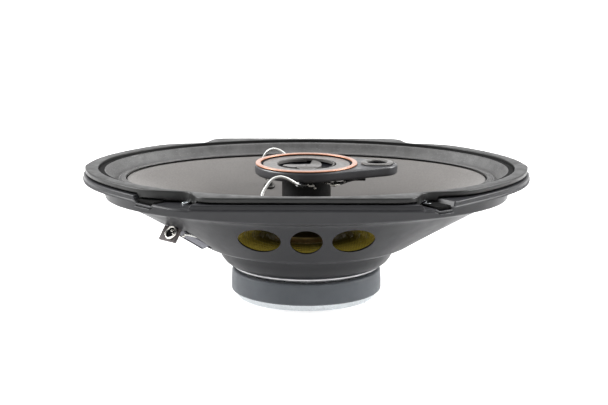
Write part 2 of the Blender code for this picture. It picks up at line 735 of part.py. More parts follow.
def build_lead_hardware():
    """Solder lugs on the post, the capacitor, and the eyelets on the cone."""
    for name, (degrees, length) in LUGS.items():
        angle = math.radians(degrees)
        plan = Vector((math.cos(angle), math.sin(angle), 0))
        centre = plan * (POST_RADIUS + 0.4 + length / 2) + Vector((0, 0, LUG_Z))
        size = (length, LUG_WIDTH, LUG_THICKNESS)
        lug = flat_box(name, centre, size, plan, (-plan.y, plan.x, 0))
        finish_object(lug, (0.75, 0.74, 0.7), 0.3, 1.0, smooth=False)
    radius, half = CAPACITOR_RADIUS, CAPACITOR_HALF_LENGTH
    capacitor = turned("tweeter_capacitor", [
        (0, half), (radius - 0.4, half), (radius, half - 0.4), (radius, 0.4 - half),
        (radius - 0.4, -half), (0, -half)], 16, ring=False)
    capacitor.location = Vector(CAPACITOR_AT) * MM
    capacitor.rotation_euler = (0, math.radians(90), 0)
    finish_object(capacitor, (0.03, 0.03, 0.035), 0.35)
    for name, side in (("cone_eyelet_front", -1), ("cone_eyelet_back", 1)):
        height, normal = cone_surface(EYELET_X, side * EYELET_Y)
        eyelet = hollow_ring(name, (0.8, 1.9), (0.35, 0.95), 14)
        eyelet.location = Vector((EYELET_X, side * EYELET_Y, height)) * MM
        eyelet.rotation_euler = Vector((0, 0, 1)).rotation_difference(normal).to_euler()
        finish_object(eyelet, (0.6, 0.55, 0.45), 0.35, 1.0)


def smooth_route(points, count):
    """Points spread evenly in parameter along a Catmull-Rom curve through the route's points."""
    points = [Vector(point) for point in points]
    ends = [2 * points[0] - points[1]] + points + [2 * points[-1] - points[-2]]
    spans = len(points) - 1
    route = []
    for i in range(count):
        place = spans * i / (count - 1)
        k = min(int(place), spans - 1)
        t = place - k
        a, b, c, d = ends[k:k + 4]
        route.append(0.5 * (2 * b + (c - a) * t + (2 * a - 5 * b + 4 * c - d) * t * t
                            + (3 * b - a - 3 * c + d) * t ** 3))
    return route


def build_lead(name, points, radius, count):
    """A braided lead, as a round tube along its route."""
    data = bpy.data.curves.new(name, "CURVE")
    data.dimensions = "3D"
    data.bevel_depth = radius * MM
    data.bevel_resolution = 2
    data.use_fill_caps = True
    spline = data.splines.new("POLY")
    route = smooth_route(points, count)
    spline.points.add(len(route) - 1)
    for knot, place in zip(spline.points, route):
        knot.co = (*(place * MM), 1.0)
    lead = bpy.data.objects.new(name, data)
    PARTS.objects.link(lead)
    return finish_object(lead, (0.75, 0.75, 0.72), 0.4, 0.8, smooth=False)


def build_tweeter_leads():
    build_lead("tinsel_lead_front", FRONT_LEAD, TINSEL_RADIUS, 26)
    build_lead("tinsel_lead_back", BACK_LEAD, TINSEL_RADIUS, 28)


def board_axes():
    """Unit vectors up the terminal board, across it and out of its visible face."""
    angle, tilt = math.radians(BOARD_ANGLE), math.radians(BOARD_TILT)
    plan = Vector((math.cos(angle), math.sin(angle), 0))
    up = Vector((0, 0, math.cos(tilt))) - plan * math.sin(tilt)
    across = Vector((-plan.y, plan.x, 0))
    return up, across, plan * math.cos(tilt) + Vector((0, 0, math.sin(tilt)))


def build_terminals():
    """The strip on the frame's wall, the board at its end, and the board's tabs, rivet and leads."""
    start, end, along, across, outward = terminal_axes()
    length = (end - start).length
    strip = flat_box("terminal_bracket", (start + end) / 2, (length, STRIP_WIDTH, 1.0), along, across)
    finish_object(strip, (0.12, 0.12, 0.13), 0.4, 0.6, smooth=False)
    up, side, face = board_axes()
    middle = Vector(BOARD_FOOT) + up * BOARD_SIZE[0] / 2
    half_board = BOARD_SIZE[2] / 2
    board = flat_box("terminal_board", middle, BOARD_SIZE, up, side)
    finish_object(board, (0.3, 0.2, 0.12), 0.7, smooth=False)
    for name, (offset, tab_width) in TABS.items():
        centre = middle - face * (half_board + GAP + TAB_THICKNESS / 2) + side * offset - up * 0.4
        tab = flat_box(name, centre, (TAB_LENGTH, tab_width, TAB_THICKNESS), up, side)
        finish_object(tab, (0.75, 0.7, 0.6), 0.3, 1.0, smooth=False)
    rivet = hollow_ring("terminal_rivet", *TERMINAL_RIVET, 18)
    place = frame_at(middle + face * (half_board + GAP), face, side)
    rivet.location = place.translation * MM
    rivet.rotation_euler = place.to_euler()
    finish_object(rivet, (0.75, 0.73, 0.68), 0.25, 1.0)
    angle = math.radians(TERMINAL_ANGLE)
    inward = -Vector((math.cos(angle), math.sin(angle), 0))
    for name, side in (("rear_lead_positive", 1), ("rear_lead_negative", -1)):
        entry = end - along * 1.0 + across * REAR_LEAD_OFFSET * side - outward * 0.2
        points = [entry + inward * reach + Vector((0, 0, rise)) for reach, rise in REAR_LEAD]
        build_lead(name, points, REAR_LEAD_RADIUS, 16)


clear_scene()
PARTS = make_collection(PARTS_NAME)
CUTTERS = make_collection("cutters")
build_motor()
build_basket()
build_gasket()
build_surround()
build_cone()
build_voice_coil()
build_spider()
build_pod()
build_diffuser()
build_midrange()
build_super_tweeter()
build_lead_hardware()
build_tweeter_leads()
build_terminals()
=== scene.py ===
"""Looks of an oval coaxial car speaker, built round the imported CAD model.

Lengths are in millimetres, as on a drawing, and MM turns them into the frame's metres.
"""
import math

import bmesh
import bpy
import numpy as np
from mathutils import Matrix, Vector, noise


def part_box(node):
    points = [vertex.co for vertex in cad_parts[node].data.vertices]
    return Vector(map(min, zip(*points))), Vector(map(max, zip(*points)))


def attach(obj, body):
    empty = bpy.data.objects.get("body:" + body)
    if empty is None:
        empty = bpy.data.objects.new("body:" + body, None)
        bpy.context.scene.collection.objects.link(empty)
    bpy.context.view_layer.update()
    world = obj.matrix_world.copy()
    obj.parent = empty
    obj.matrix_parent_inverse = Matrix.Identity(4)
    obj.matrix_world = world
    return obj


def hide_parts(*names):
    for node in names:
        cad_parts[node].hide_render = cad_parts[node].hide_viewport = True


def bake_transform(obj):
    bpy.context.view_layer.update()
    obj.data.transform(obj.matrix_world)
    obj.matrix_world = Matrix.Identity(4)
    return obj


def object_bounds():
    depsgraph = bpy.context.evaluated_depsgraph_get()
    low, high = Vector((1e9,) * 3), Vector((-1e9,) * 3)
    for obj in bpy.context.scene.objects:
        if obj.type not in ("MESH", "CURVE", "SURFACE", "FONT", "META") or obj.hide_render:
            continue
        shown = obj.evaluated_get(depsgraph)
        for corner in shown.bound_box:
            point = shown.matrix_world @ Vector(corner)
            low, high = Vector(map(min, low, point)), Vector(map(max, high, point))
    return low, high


MM = 0.001
ROOT = "frame"
CONE_BODY = "cone_assembly"
MIDRANGE_BODY = "midrange_assembly"
TWEETER_BODY = "super_tweeter_assembly"

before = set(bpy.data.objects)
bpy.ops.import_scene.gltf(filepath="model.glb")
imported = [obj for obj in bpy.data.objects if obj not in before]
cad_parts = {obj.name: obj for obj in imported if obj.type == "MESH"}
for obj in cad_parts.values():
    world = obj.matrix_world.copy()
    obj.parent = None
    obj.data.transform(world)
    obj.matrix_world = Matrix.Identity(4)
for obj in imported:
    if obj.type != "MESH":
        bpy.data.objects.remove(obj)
CAD_BOX = [list(corner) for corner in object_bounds()]


def high(node, axis=2):
    """A CAD node's highest coordinate along an axis, in millimetres."""
    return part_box(node)[1][axis] / MM


def low(node, axis=2):
    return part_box(node)[0][axis] / MM


# Flange and gasket outlines. A diagonal bounds |x| + |y| at the four corners.
FLANGE_HALF_LENGTH = 113.8
FLANGE_HALF_WIDTH = high("basket", 1)
FLANGE_DIAGONAL = 141.5
GASKET_HALF_LENGTH = 112.8
GASKET_HALF_WIDTH = high("front_gasket", 1)
GASKET_DIAGONAL = 138.5
# The gasket's notches lie beyond this x and this y
NOTCH = (53.0, 64.5)
NOTCH_ROUNDING = 18.0
# Each ear as the angles it lies between, and those of the slot at its end
LONG_EAR = ((36.0, 56.0), (36.8, 43.5))
SHORT_EAR = ((46.3, 56.0), (47.0, 52.0))
END_ROUNDING = 10.0
SIDE_ROUNDING = 24.0
SCREW_HOLE = (56.4, 67.0)

# Heights of the frame
RIM_BOTTOM_Z = 60.0
RIM_TOP_Z = 63.2
EAR_TOP_Z = 60.9
FLANGE_TOP_Z = 63.6
SHEET = 1.2
GASKET_Z = (63.9, high("front_gasket"))
GASKET_SKIRT = 2.0
GAP = 0.3
WALL_BOTTOM_Z = 52.0
LEDGE_Z = 28.4
FLOOR_Z = 18.3

# Ovals, as (half length, half width)
GASKET_INNER = (104.4, 75.0)
OPENING = (101.2, 72.8)
WALL_BOTTOM = (100.2, 66.0)
CONE_WALL_TOP = (92.0, 62.0)
LEDGE_EDGE = (52.5, 49.5)
LEDGE = (49.4, 48.4)

# Windows: a round one in the middle of each long side, and a wider one on either side of it
WINDOW_RADIUS = 7.35
WINDOW_TAPER = 0.35
WINDOW_TILT = 32.0
WINDOW_SPACING = 23.2
WINDOW_Z = 39.6
WIDE_WINDOW = 1.32

# Cone and spider
CONE_EDGE_Z = 60.1
CONE_INNER_EDGE = (88.3, 58.3)
NECK_RADIUS = 13.7
NECK_Z = low("cone") + 0.8
CONE_BOW = 1.6
SPIDER_WAVES = 7

# Motor
PLATE_RADIUS = high("back_plate", 0)
PLATE_TOP_Z = 4.2
POLE_RADIUS = 12.2
POLE_TOP_Z = high("back_plate")
BOOT_RADIUS = high("magnet_boot", 0)
BOOT_Z = (low("magnet_boot"), high("magnet_boot"))

# Tweeter pod
POST_RADIUS = high("tweeter_post", 0)
POST_Z = (low("tweeter_post"), high("tweeter_post"))
POD_RADIUS = high("tweeter_housing", 1)
ARM_X = 36.0
ARM_RADIUS = 9.8
POD_Z = (low("tweeter_housing"), high("tweeter_housing"))
RING_RADII = (23.1, high("trim_ring", 0))
RING_Z = (low("trim_ring"), high("trim_ring"))
DIFFUSER_RADIUS = high("midrange_diffuser", 0)

# Lead routes, as in the CAD
TINSEL_RADIUS = 0.7
FRONT_LEAD = [
    (-0.7, -19.0, 61.4), (-2.0, -23.0, 61.2), (-3.6, -27.6, 61.9), (-6.6, -29.4, 64.0),
    (-9.8, -29.8, 65.8), (-13.4, -30.2, 66.5), (-16.8, -30.8, 65.2), (-19.4, -31.4, 62.0),
    (-21.4, -32.6, 58.4), (-21.8, -35.0, 54.4), (-20.6, -38.1, 51.3)]
BACK_LEAD = [
    (-4.9, 19.0, 61.4), (-6.4, 23.4, 61.3), (-8.6, 27.8, 62.9), (-11.0, 30.2, 66.2),
    (-14.2, 31.4, 68.4), (-17.6, 32.0, 68.9), (-20.6, 32.6, 67.2), (-22.6, 33.2, 63.6),
    (-23.4, 34.6, 59.0), (-22.8, 36.6, 54.4), (-20.6, 38.3, 51.4)]
REAR_LEAD_RADIUS = 0.6
REAR_LEAD_OFFSET = 3.9
# From where a rear lead enters the frame, as (way inwards, rise)
REAR_LEAD = [(0, 0), (3.4, -0.8), (8.0, -2.4), (14.0, -4.7), (20.0, -4.4), (25.4, -1.4), (27.2, 2.1)]
EYELET = (-19.3, 38.7)

# Lead terminals on the frame
TERMINAL_ANGLE = 206.5
STRIP_START = (55.5, 29.8)
STRIP_END = (69.5, 39.0)
STRIP_WIDTH = 5.4
STRIP_SHIFT = 0.2
STRIP_TURN = 36.0
SLOT_CORNERS = [(-5.5, -8.5), (7.0, -8.5), (7.0, 8.5), (-5.5, 8.5)]
BOARD_ANGLE = 226.6
BOARD_TILT = 35.0
BOARD_FOOT = (-68.0, -34.0, 35.2)
BOARD_SIZE = (7.4, 11.0, 1.6)
RIVET_OFFSET = (1.6, 0.6)


# ---------------------------------------------------------------- mesh helpers

def linked(name, data):
    """A new object in the scene that holds data."""
    obj = bpy.data.objects.new(name, data)
    bpy.context.scene.collection.objects.link(obj)
    return obj


def from_cage(name, cage):
    """An object from an edit mesh, which is then freed."""
    mesh = bpy.data.meshes.new(name)
    cage.to_mesh(mesh)
    cage.free()
    return linked(name, mesh)


def new_object(name, points, faces):
    """An object from points in millimetres, with its faces turned outwards."""
    mesh = bpy.data.meshes.new(name)
    mesh.from_pydata([Vector(point) * MM for point in points], [], faces)
    cage = bmesh.new()
    cage.from_mesh(mesh)
    bmesh.ops.remove_doubles(cage, verts=cage.verts, dist=0.000002)
    bmesh.ops.dissolve_degenerate(cage, edges=cage.edges, dist=0.000001)
    bmesh.ops.recalc_face_normals(cage, faces=cage.faces)
    cage.to_mesh(mesh)
    cage.free()
    return linked(name, mesh)


def shade(obj, angle=38):
    obj.data.shade_smooth()
    obj.data.set_sharp_from_angle(angle=math.radians(angle))
    return obj


def bake(obj):
    """Replace an object's mesh by what its modifiers make of it."""
    depsgraph = bpy.context.evaluated_depsgraph_get()
    mesh = bpy.data.meshes.new_from_object(obj.evaluated_get(depsgraph))
    mesh.name = obj.name
    obj.modifiers.clear()
    obj.data = mesh
    return obj


def bevel(obj, width):
    """Round the sharp edges."""
    rounding = obj.modifiers.new("Round", "BEVEL")
    rounding.width = width * MM
    rounding.segments = 2
    rounding.limit_method = "ANGLE"
    rounding.angle_limit = math.radians(50)
    return bake(obj)


def cut(obj, cutters):
    """Cut the cutters out of an object, and remove them."""
    for cutter in cutters:
        boolean = obj.modifiers.new("Cut", "BOOLEAN")
        boolean.operation = "DIFFERENCE"
        boolean.solver = "EXACT"
        boolean.object = cutter
    bpy.context.view_layer.update()
    bake(obj)
    for cutter in cutters:
        bpy.data.objects.remove(cutter)
    return obj


def joined(name, pieces):
    """One object from several."""
    cage = bmesh.new()
    for piece in pieces:
        part = piece.data.copy()
        part.transform(piece.matrix_world)
        cage.from_mesh(part)
        bpy.data.objects.remove(piece)
    return from_cage(name, cage)


def spread(count):
    """Polar angles round the full turn."""
    return [math.tau * i / count for i in range(count)]


def polar(angle, radius=1.0, height=0.0):
    """A point, or a level direction, from its polar angle."""
    return Vector((radius * math.cos(angle), radius * math.sin(angle), height))


def lifted(height):
    return Vector((0, 0, height))


def level_axes(degrees):
    """Level unit vectors along a polar angle and across it."""
    plan = polar(math.radians(degrees))
    return plan, Vector((-plan.y, plan.x, 0))


def fillet(profile, radii, steps=4, closed=False):
    """Round the corners of a profile of (radius, height). Each corner gives steps + 1 points."""
    rounded = []
    count = len(profile)
    for i, (corner, radius) in enumerate(zip(profile, radii)):
        if radius <= 0 or (not closed and i in (0, count - 1)):
            rounded.append(tuple(corner))
            continue
        corner = Vector(corner)
        before = Vector(profile[i - 1]) - corner
        after = Vector(profile[(i + 1) % count]) - corner
        reach = min(radius, 0.48 * before.length, 0.48 * after.length)
        start = corner + before.normalized() * reach
        end = corner + after.normalized() * reach
        for k in range(steps + 1):
            t = k / steps
            point = start * (1 - t) ** 2 + corner * 2 * t * (1 - t) + end * t * t
            rounded.append(tuple(point))
    return rounded


def ringed(name, angles, profile_of):
    """A closed surface round Z: profile_of(angle) gives as many (radius, height) at each angle."""
    points = []
    for angle in angles:
        profile = profile_of(angle)
        points += [polar(angle, radius, height) for radius, height in profile]
    around, along = len(angles), len(profile)
    faces = []
    for i in range(around):
        here, there = i * along, (i + 1) % around * along
        for k in range(along):
            m = (k + 1) % along
            faces.append((here + k, there + k, there + m, here + m))
    return new_object(name, points, faces)


def mitred(points, distance):
    """A path moved to its left, with its corners kept sharp."""
    moved = []
    for i, point in enumerate(points):
        normals = []
        for start, end in ((i - 1, i), (i, i + 1)):
            if start >= 0 and end < len(points):
                step = Vector(points[end]) - Vector(points[start])
                normals.append(Vector((-step.y, step.x)).normalized())
        normal = (normals[0] + normals[-1]).normalized()
        moved.append(Vector(point) + normal * distance / max(0.4, normal.dot(normals[0])))
    return moved


def skinned(stations, thickness, steps=4):
    """A closed profile from stations of (radius, height, rounding), and the same path below them."""
    path = [station[:2] for station in stations]
    radii = [station[2] for station in stations]
    below = fillet(mitred(path, thickness), radii, steps)
    return fillet(path, radii, steps) + [tuple(point) for point in reversed(below)]


def turned(name, profile, steps=96, rounding=None):
    """A closed turned shape. Its profile of (radius, height) closes on itself or on the axis."""
    if rounding is not None:
        radii = rounding if isinstance(rounding, (list, tuple)) else [rounding] * len(profile)
        radii = [0 if point[0] <= 0.0001 else radius for point, radius in zip(profile, radii)]
        profile = fillet(profile, radii, 3, closed=True)
    return ringed(name, spread(steps), lambda angle: profile)


def band_faces(count, bands):
    """Faces of a closed skin through equal outlines of count points, with both ends."""
    faces = [tuple(reversed(range(count)))]
    for foot in range(0, bands * count, count):
        for i in range(count):
            j = (i + 1) % count
            faces.append((foot + i, foot + j, foot + count + j, foot + count + i))
    return faces + [tuple(range(bands * count, (bands + 1) * count))]


def stacked(name, layers):
    """A closed solid through equal outlines."""
    points = [point for layer in layers for point in layer]
    return new_object(name, points, band_faces(len(layers[0]), len(layers) - 1))


def block(name, centre, size, along, across, rounding=0.15):
    """A block with rounded edges: its length runs along one vector and its width across it."""
    along, across = Vector(along).normalized(), Vector(across).normalized()
    up = along.cross(across)
    length, width, thickness = size
    layers = []
    for level in (-0.5, 0.5):
        layers.append([Vector(centre) + along * length * i + across * width * j + up * thickness * level
                       for i, j in ((-0.5, -0.5), (0.5, -0.5), (0.5, 0.5), (-0.5, 0.5))])
    return shade(bevel(stacked(name, layers), rounding))


def cylinder(name, radius, depth, matrix, sides=64, taper=0.0):
    """A cylinder placed by a matrix in millimetres. Its radius may shrink by taper per millimetre."""
    layers = []
    for z in (-depth / 2, depth / 2):
        layers.append([matrix @ polar(t, radius - taper * z, z) for t in spread(sides)])
    return stacked(name, layers)


def blob(name, centre, size, seed):
    """A small uneven drop, such as solder."""
    cage = bmesh.new()
    bmesh.ops.create_icosphere(cage, subdivisions=3, radius=1.0)
    for vertex in cage.verts:
        swell = 1 + 0.35 * noise.noise(vertex.co * 1.3 + Vector((seed, 0, seed)))
        vertex.co = (Vector(centre) + Vector(size) * 0.5 * swell * vertex.co) * MM
    drop = from_cage(name, cage)
    drop.data.shade_smooth()
    return drop


def frame_at(origin, forward, across):
    """A matrix with local Z along forward and local X along across."""
    z_axis = Vector(forward).normalized()
    x_axis = Vector(across).normalized()
    y_axis = z_axis.cross(x_axis)
    matrix = Matrix((x_axis, y_axis, z_axis)).transposed().to_4x4()
    matrix.translation = Vector(origin)
    return matrix


def smooth_step(start, end, value):
    share = min(1.0, max(0.0, (value - start) / (end - start)))
    return share * share * (3 - 2 * share)


def mix(start, end, share):
    return tuple(a + (b - a) * share for a, b in zip(start, end))


def smooth_route(points, count):
    """Points along a Catmull-Rom curve through the route's own points."""
    points = [Vector(point) for point in points]
    ends = [2 * points[0] - points[1]] + points + [2 * points[-1] - points[-2]]
    spans = len(points) - 1
    route = []
    for i in range(count):
        place = spans * i / (count - 1)
        k = min(int(place), spans - 1)
        t = place - k
        a, b, c, d = ends[k:k + 4]
        route.append(0.5 * (2 * b + (c - a) * t + (2 * a - 5 * b + 4 * c - d) * t * t
                            + (3 * b - a - 3 * c + d) * t ** 3))
    return route


def tube(name, route, radius_at, sides=20):
    """A closed tube along a route. radius_at(distance, angle) gives its radius."""
    points, distance, side_axis = [], 0.0, None
    for i, place in enumerate(route):
        ahead = (route[min(i + 1, len(route) - 1)] - route[max(i - 1, 0)]).normalized()
        if side_axis is None:
            side_axis = ahead.orthogonal().normalized()
        side_axis = (side_axis - ahead * side_axis.dot(ahead)).normalized()
        other = ahead.cross(side_axis)
        if i:
            distance += (place - route[i - 1]).length
        for t in spread(sides):
            radius = radius_at(distance, t)
            points.append(place + (side_axis * math.cos(t) + other * math.sin(t)) * radius)
    return new_object(name, points, band_faces(sides, len(route) - 1))


# ---------------------------------------------------------------- outlines

def oval_radius(angle, halves):
    return 1.0 / math.hypot(math.cos(angle) / halves[0], math.sin(angle) / halves[1])


def cornered_radius(angle, half_length, half_width, diagonal):
    """Straight long sides, cut corners and rounded ends."""
    across, along = abs(math.sin(angle)), abs(math.cos(angle))
    end = ((along / half_length) ** END_ROUNDING
           + ((across + along) / diagonal) ** END_ROUNDING) ** (1 / END_ROUNDING)
    side = across / half_width
    return (end ** SIDE_ROUNDING + side ** SIDE_ROUNDING) ** (-1 / SIDE_ROUNDING)


def quadrant_degrees(angle):
    return math.degrees(math.atan2(abs(math.sin(angle)), abs(math.cos(angle))))


def flange_radius(angle):
    return cornered_radius(angle, FLANGE_HALF_LENGTH, FLANGE_HALF_WIDTH, FLANGE_DIAGONAL)


def gasket_radius(angle):
    """The gasket's outline, with its four notches round the screw ears."""
    full = cornered_radius(angle, GASKET_HALF_LENGTH, GASKET_HALF_WIDTH, GASKET_DIAGONAL)
    along = NOTCH[0] / max(abs(math.cos(angle)), 0.01)
    across = NOTCH[1] / max(abs(math.sin(angle)), 0.01)
    power = NOTCH_ROUNDING
    notch = max(along, across) * (1 + (min(along, across) / max(along, across)) ** power) ** (1 / power)
    return min(full, notch) * (1 + (min(full, notch) / max(full, notch)) ** power) ** (-1 / power)


def between(angle, start, end, slope):
    """1 between two angles of each quadrant, 0 elsewhere, with short slopes."""
    place = quadrant_degrees(angle)
    rise = smooth_step(start - slope, start + slope, place)
    return rise * (1 - smooth_step(end - slope, end + slope, place))


def in_ear(angle):
    """How far an angle is inside a screw ear, and inside the slot at its end. Two ears are longer."""
    ear, slot = LONG_EAR if math.sin(angle) * math.cos(angle) > 0 else SHORT_EAR
    return between(angle, *ear, 0.45), between(angle, *slot, 0.4)


def rim_top(angle):
    """The flange's outer edge is lower at the screw ears, and dips further in their slots."""
    ear, slot = in_ear(angle)
    return RIM_TOP_Z + (EAR_TOP_Z - RIM_TOP_Z) * ear - slot


def rim_angles():
    """Polar angles round the full turn, closer together at the notches and ears."""
    angles, degrees = [], 0.0
    while degrees < 360:
        angles.append(math.radians(degrees))
        place = quadrant_degrees(angles[-1])
        degrees += 0.25 if 34 < place < 60 else 0.8
    return angles


# ---------------------------------------------------------------- materials

class Finish:
    """A Principled material that is built up from a few procedural effects in object space."""

    def __init__(self, name, colour, roughness, metallic=0.0, specular=0.5):
        self.material = bpy.data.materials.new(name)
        self.material.use_nodes = True
        self.material.diffuse_color = (*colour, 1.0)
        self.nodes = self.material.node_tree.nodes
        self.links = self.material.node_tree.links
        self.shader = self.nodes["Principled BSDF"]
        self.colour = colour
        self.colour_from = (*colour, 1.0)
        self.normal_from = (0.0, 0.0, 0.0)
        self.set("Base Color", (*colour, 1.0))
        self.set("Roughness", roughness)
        self.set("Metallic", metallic)
        self.set("Specular IOR Level", specular)
        self.coords = self.node("TexCoord", {}).outputs["Object"]

    def set(self, socket, value, node=None):
        """Give an input of the shader, or of another node, a value or a link."""
        target = (node or self.shader).inputs[socket]
        if isinstance(value, bpy.types.NodeSocket):
            self.links.new(value, target)
        else:
            target.default_value = value

    def node(self, kind, inputs):
        """A new node with values or links for its inputs."""
        node = self.nodes.new("ShaderNode" + kind)
        for socket, value in inputs.items():
            self.set(socket, value, node)
        return node

    def facing(self, axis):
        """How far the surface faces along an axis of the object, from -1 to 1."""
        normal = self.node("TexCoord", {}).outputs["Normal"]
        return self.node("SeparateXYZ", {"Vector": normal}).outputs[axis]

    def from_axis(self):
        """Distance from the object's Z axis, in metres."""
        level = self.node("VectorMath", {0: self.coords, 1: (1.0, 1.0, 0.0)})
        level.operation = "MULTIPLY"
        length = self.node("VectorMath", {0: level.outputs["Vector"]})
        length.operation = "LENGTH"
        return length.outputs["Value"]

    def noise(self, size, detail=3.0):
        """Noise whose features are about size millimetres across."""
        inputs = {"Vector": self.coords, "Scale": 1 / (size * MM), "Detail": detail, "Roughness": 0.55}
        return self.node("TexNoise", inputs).outputs["Fac"]

    def stripes(self, pitch, direction, rings=False, distortion=0.0):
        """Even stripes or rings with a pitch in millimetres."""
        scale = math.tau / 20 / (pitch * MM)
        wave = self.node("TexWave", {"Vector": self.coords, "Scale": scale, "Distortion": distortion})
        if rings:
            wave.wave_type = "RINGS"
            wave.rings_direction = direction
        else:
            wave.bands_direction = direction
        return wave.outputs["Fac"]

    def cells(self, size):
        """Distance to scattered points, size millimetres apart."""
        return self.node("TexVoronoi", {"Vector": self.coords, "Scale": 1 / (size * MM)}).outputs["Distance"]

    def ramp(self, value, start, end, low_value=0.0, high_value=1.0):
        """Map start..end to low_value..high_value."""
        inputs = {"From Min": start, "From Max": end, "To Min": low_value, "To Max": high_value}
        return self.node("MapRange", {"Value": value, **inputs}).outputs["Result"]

    def product(self, first, second):
        node = self.node("Math", {0: first, 1: second})
        node.operation = "MULTIPLY"
        return node.outputs[0]

    def tint(self, amount, colour):
        """Lay a colour over what is there, as far as amount says."""
        node = self.node("Mix", {"Factor": amount, 6: self.colour_from, 7: (*colour, 1.0)})
        node.data_type = "RGBA"
        self.colour_from = node.outputs[2]
        self.set("Base Color", self.colour_from)
        return self

    def mottle(self, size, strength, detail=3.0):
        """Darker and lighter patches."""
        value = self.noise(size, detail)
        dark = tuple(c * (1 - strength) for c in self.colour)
        light = tuple(min(1.0, c * (1 + strength)) for c in self.colour)
        self.tint(self.ramp(value, 0.5, 0.72), light)
        return self.tint(self.ramp(value, 0.5, 0.28), dark)

    def dust(self, size, share, colour):
        """Small scattered specks."""
        near = self.ramp(self.cells(size), 0.16, 0.08)
        chosen = self.ramp(self.noise(size * 5, 1.0), 1 - share, 1.04 - share)
        return self.tint(self.product(near, chosen), colour)

    def edge_rub_and_highlight(self, start, end, colour, strength=1.0):
        """A paler colour on convex edges, used for rub marks and for a painted highlight."""
        pointed = self.node("NewGeometry", {}).outputs["Pointiness"]
        edge = self.ramp(pointed, start, end, 0.0, strength)
        return self.tint(self.product(edge, self.noise(1.5)), colour)

    def gloss(self, value, smooth, rough):
        """Let the roughness follow a value."""
        self.set("Roughness", self.ramp(value, 0.3, 0.7, smooth, rough))
        return self

    def bump(self, value, depth, strength=1.0):
        """Raise the surface by depth millimetres where the value is high."""
        inputs = {"Height": value, "Distance": depth * MM, "Strength": strength, "Normal": self.normal_from}
        self.normal_from = self.node("Bump", inputs).outputs["Normal"]
        self.set("Normal", self.normal_from)
        return self


def plain(name, colour, roughness, metallic=0.0, specular=0.5, patches=(), gloss=None, grain=None):
    """A finish with patches (size, strength, detail), uneven gloss (size, smooth, rough) and a fine
    grain (size, detail, depth, strength)."""
    finish = Finish(name, colour, roughness, metallic, specular)
    finish.mottle(*patches)
    if gloss:
        finish.gloss(finish.noise(gloss[0]), *gloss[1:])
    if grain:
        finish.bump(finish.noise(*grain[:2]), *grain[2:])
    return finish


def make_paint(name="frame_paint", lift=1.0):
    """Satin powder coat on the stamped frame. A lift above 1 paints the same coat lighter, as painted light.
    """
    colour = tuple(c * lift for c in (0.0165, 0.0165, 0.0185))
    finish = plain(name, colour, 0.40, patches=(22, 0.12), gloss=(9, 0.34, 0.46),
                   grain=(0.9, 2.0, 0.02, 0.5), specular=0.28)
    return finish.dust(2.4, 0.30, (0.10, 0.10, 0.105)).material


def make_surround_rubber():
    """Rubber with a fine grain, with pale specks painted in as glints, and a painted highlight on its convex
    edges.
    """
    finish = plain("surround_rubber", (0.078, 0.077, 0.076), 0.52, patches=(7, 0.22),
                   gloss=(0.8, 0.42, 0.64), grain=(0.6, 3.0, 0.10, 0.55), specular=0.30)
    # Painted glints: pale specks laid into the rubber's colour
    finish.tint(finish.ramp(finish.noise(0.55, 2.0), 0.62, 0.78), (0.17, 0.17, 0.175))
    # Painted highlight: a paler colour along the convex edges and the bead
    return finish.edge_rub_and_highlight(0.53, 0.60, (0.30, 0.30, 0.30), 0.6).material


def make_cone_pulp():
    """Pressed pulp with mica: warm grey, with fine fibres and a soft sheen. It has the pod's shadow painted
    in towards the middle, and painted shade where it faces down.
    """
    finish = plain("cone_pulp", (0.125, 0.118, 0.112), 0.47, patches=(26, 0.10),
                   gloss=(1.1, 0.40, 0.54), grain=(0.8, 4.0, 0.03, 0.5), specular=0.5)
    finish.mottle(0.7, 0.16, 4.0)
    finish.bump(finish.stripes(4.6, "Z", rings=True), 0.02, 0.12)
    # Painted shadow: darker towards the middle, where the pod shades the cone
    finish.tint(finish.ramp(finish.from_axis(), 0.074, 0.036), (0.070, 0.065, 0.061))
    # Painted shade: darker where the surface faces down, on the cone's underside
    return finish.tint(finish.ramp(finish.facing("Z"), 0.1, -0.2), (0.010, 0.009, 0.008)).material


def make_spider_cloth():
    """Resin-dipped cloth: a square weave in ochre. It has painted shade towards the middle, under the cone,
    and a painted glow that grows towards its rim.
    """
    finish = Finish("spider_cloth", (0.88, 0.70, 0.12), 0.72)
    finish.set("Sheen Weight", 0.1)
    weave = finish.product(finish.stripes(0.8, "X"), finish.stripes(0.8, "Y"))
    finish.tint(finish.ramp(weave, 0.55, 0.05), (0.42, 0.30, 0.03))
    finish.tint(finish.ramp(finish.noise(9), 0.52, 0.75), (0.95, 0.80, 0.22))
    # Painted shade: darker towards the middle, under the cone
    finish.tint(finish.ramp(finish.from_axis(), 0.030, 0.019), (0.20, 0.12, 0.02))
    finish.bump(weave, 0.25, 0.8)
    # Painted light: the cloth glows, more towards its rim, as if lit through the windows
    finish.set("Emission Color", (0.75, 0.60, 0.10, 1.0))
    finish.set("Emission Strength", finish.ramp(finish.from_axis(), 0.024, 0.042, 0.008, 0.13))
    return finish.material


def make_zinc():
    """Bright zinc plating over turned steel."""
    finish = plain("zinc", (0.64, 0.67, 0.69), 0.26, 1.0, patches=(6, 0.08), gloss=(4, 0.18, 0.36))
    finish.dust(2.2, 0.3, (0.55, 0.55, 0.56))
    return finish.bump(finish.stripes(0.5, "Z", rings=True, distortion=0.6), 0.006, 0.4).material


def make_boot_rubber():
    """Moulded rubber, with pale rub marks on its edges."""
    finish = plain("boot_rubber", (0.092, 0.101, 0.112), 0.50, patches=(16, 0.14),
                   gloss=(5, 0.42, 0.56), grain=(0.7, 3.0, 0.03, 0.5), specular=0.36)
    finish.dust(1.3, 0.22, (0.22, 0.23, 0.24))
    return finish.edge_rub_and_highlight(0.52, 0.60, (0.42, 0.43, 0.45), 0.9).material


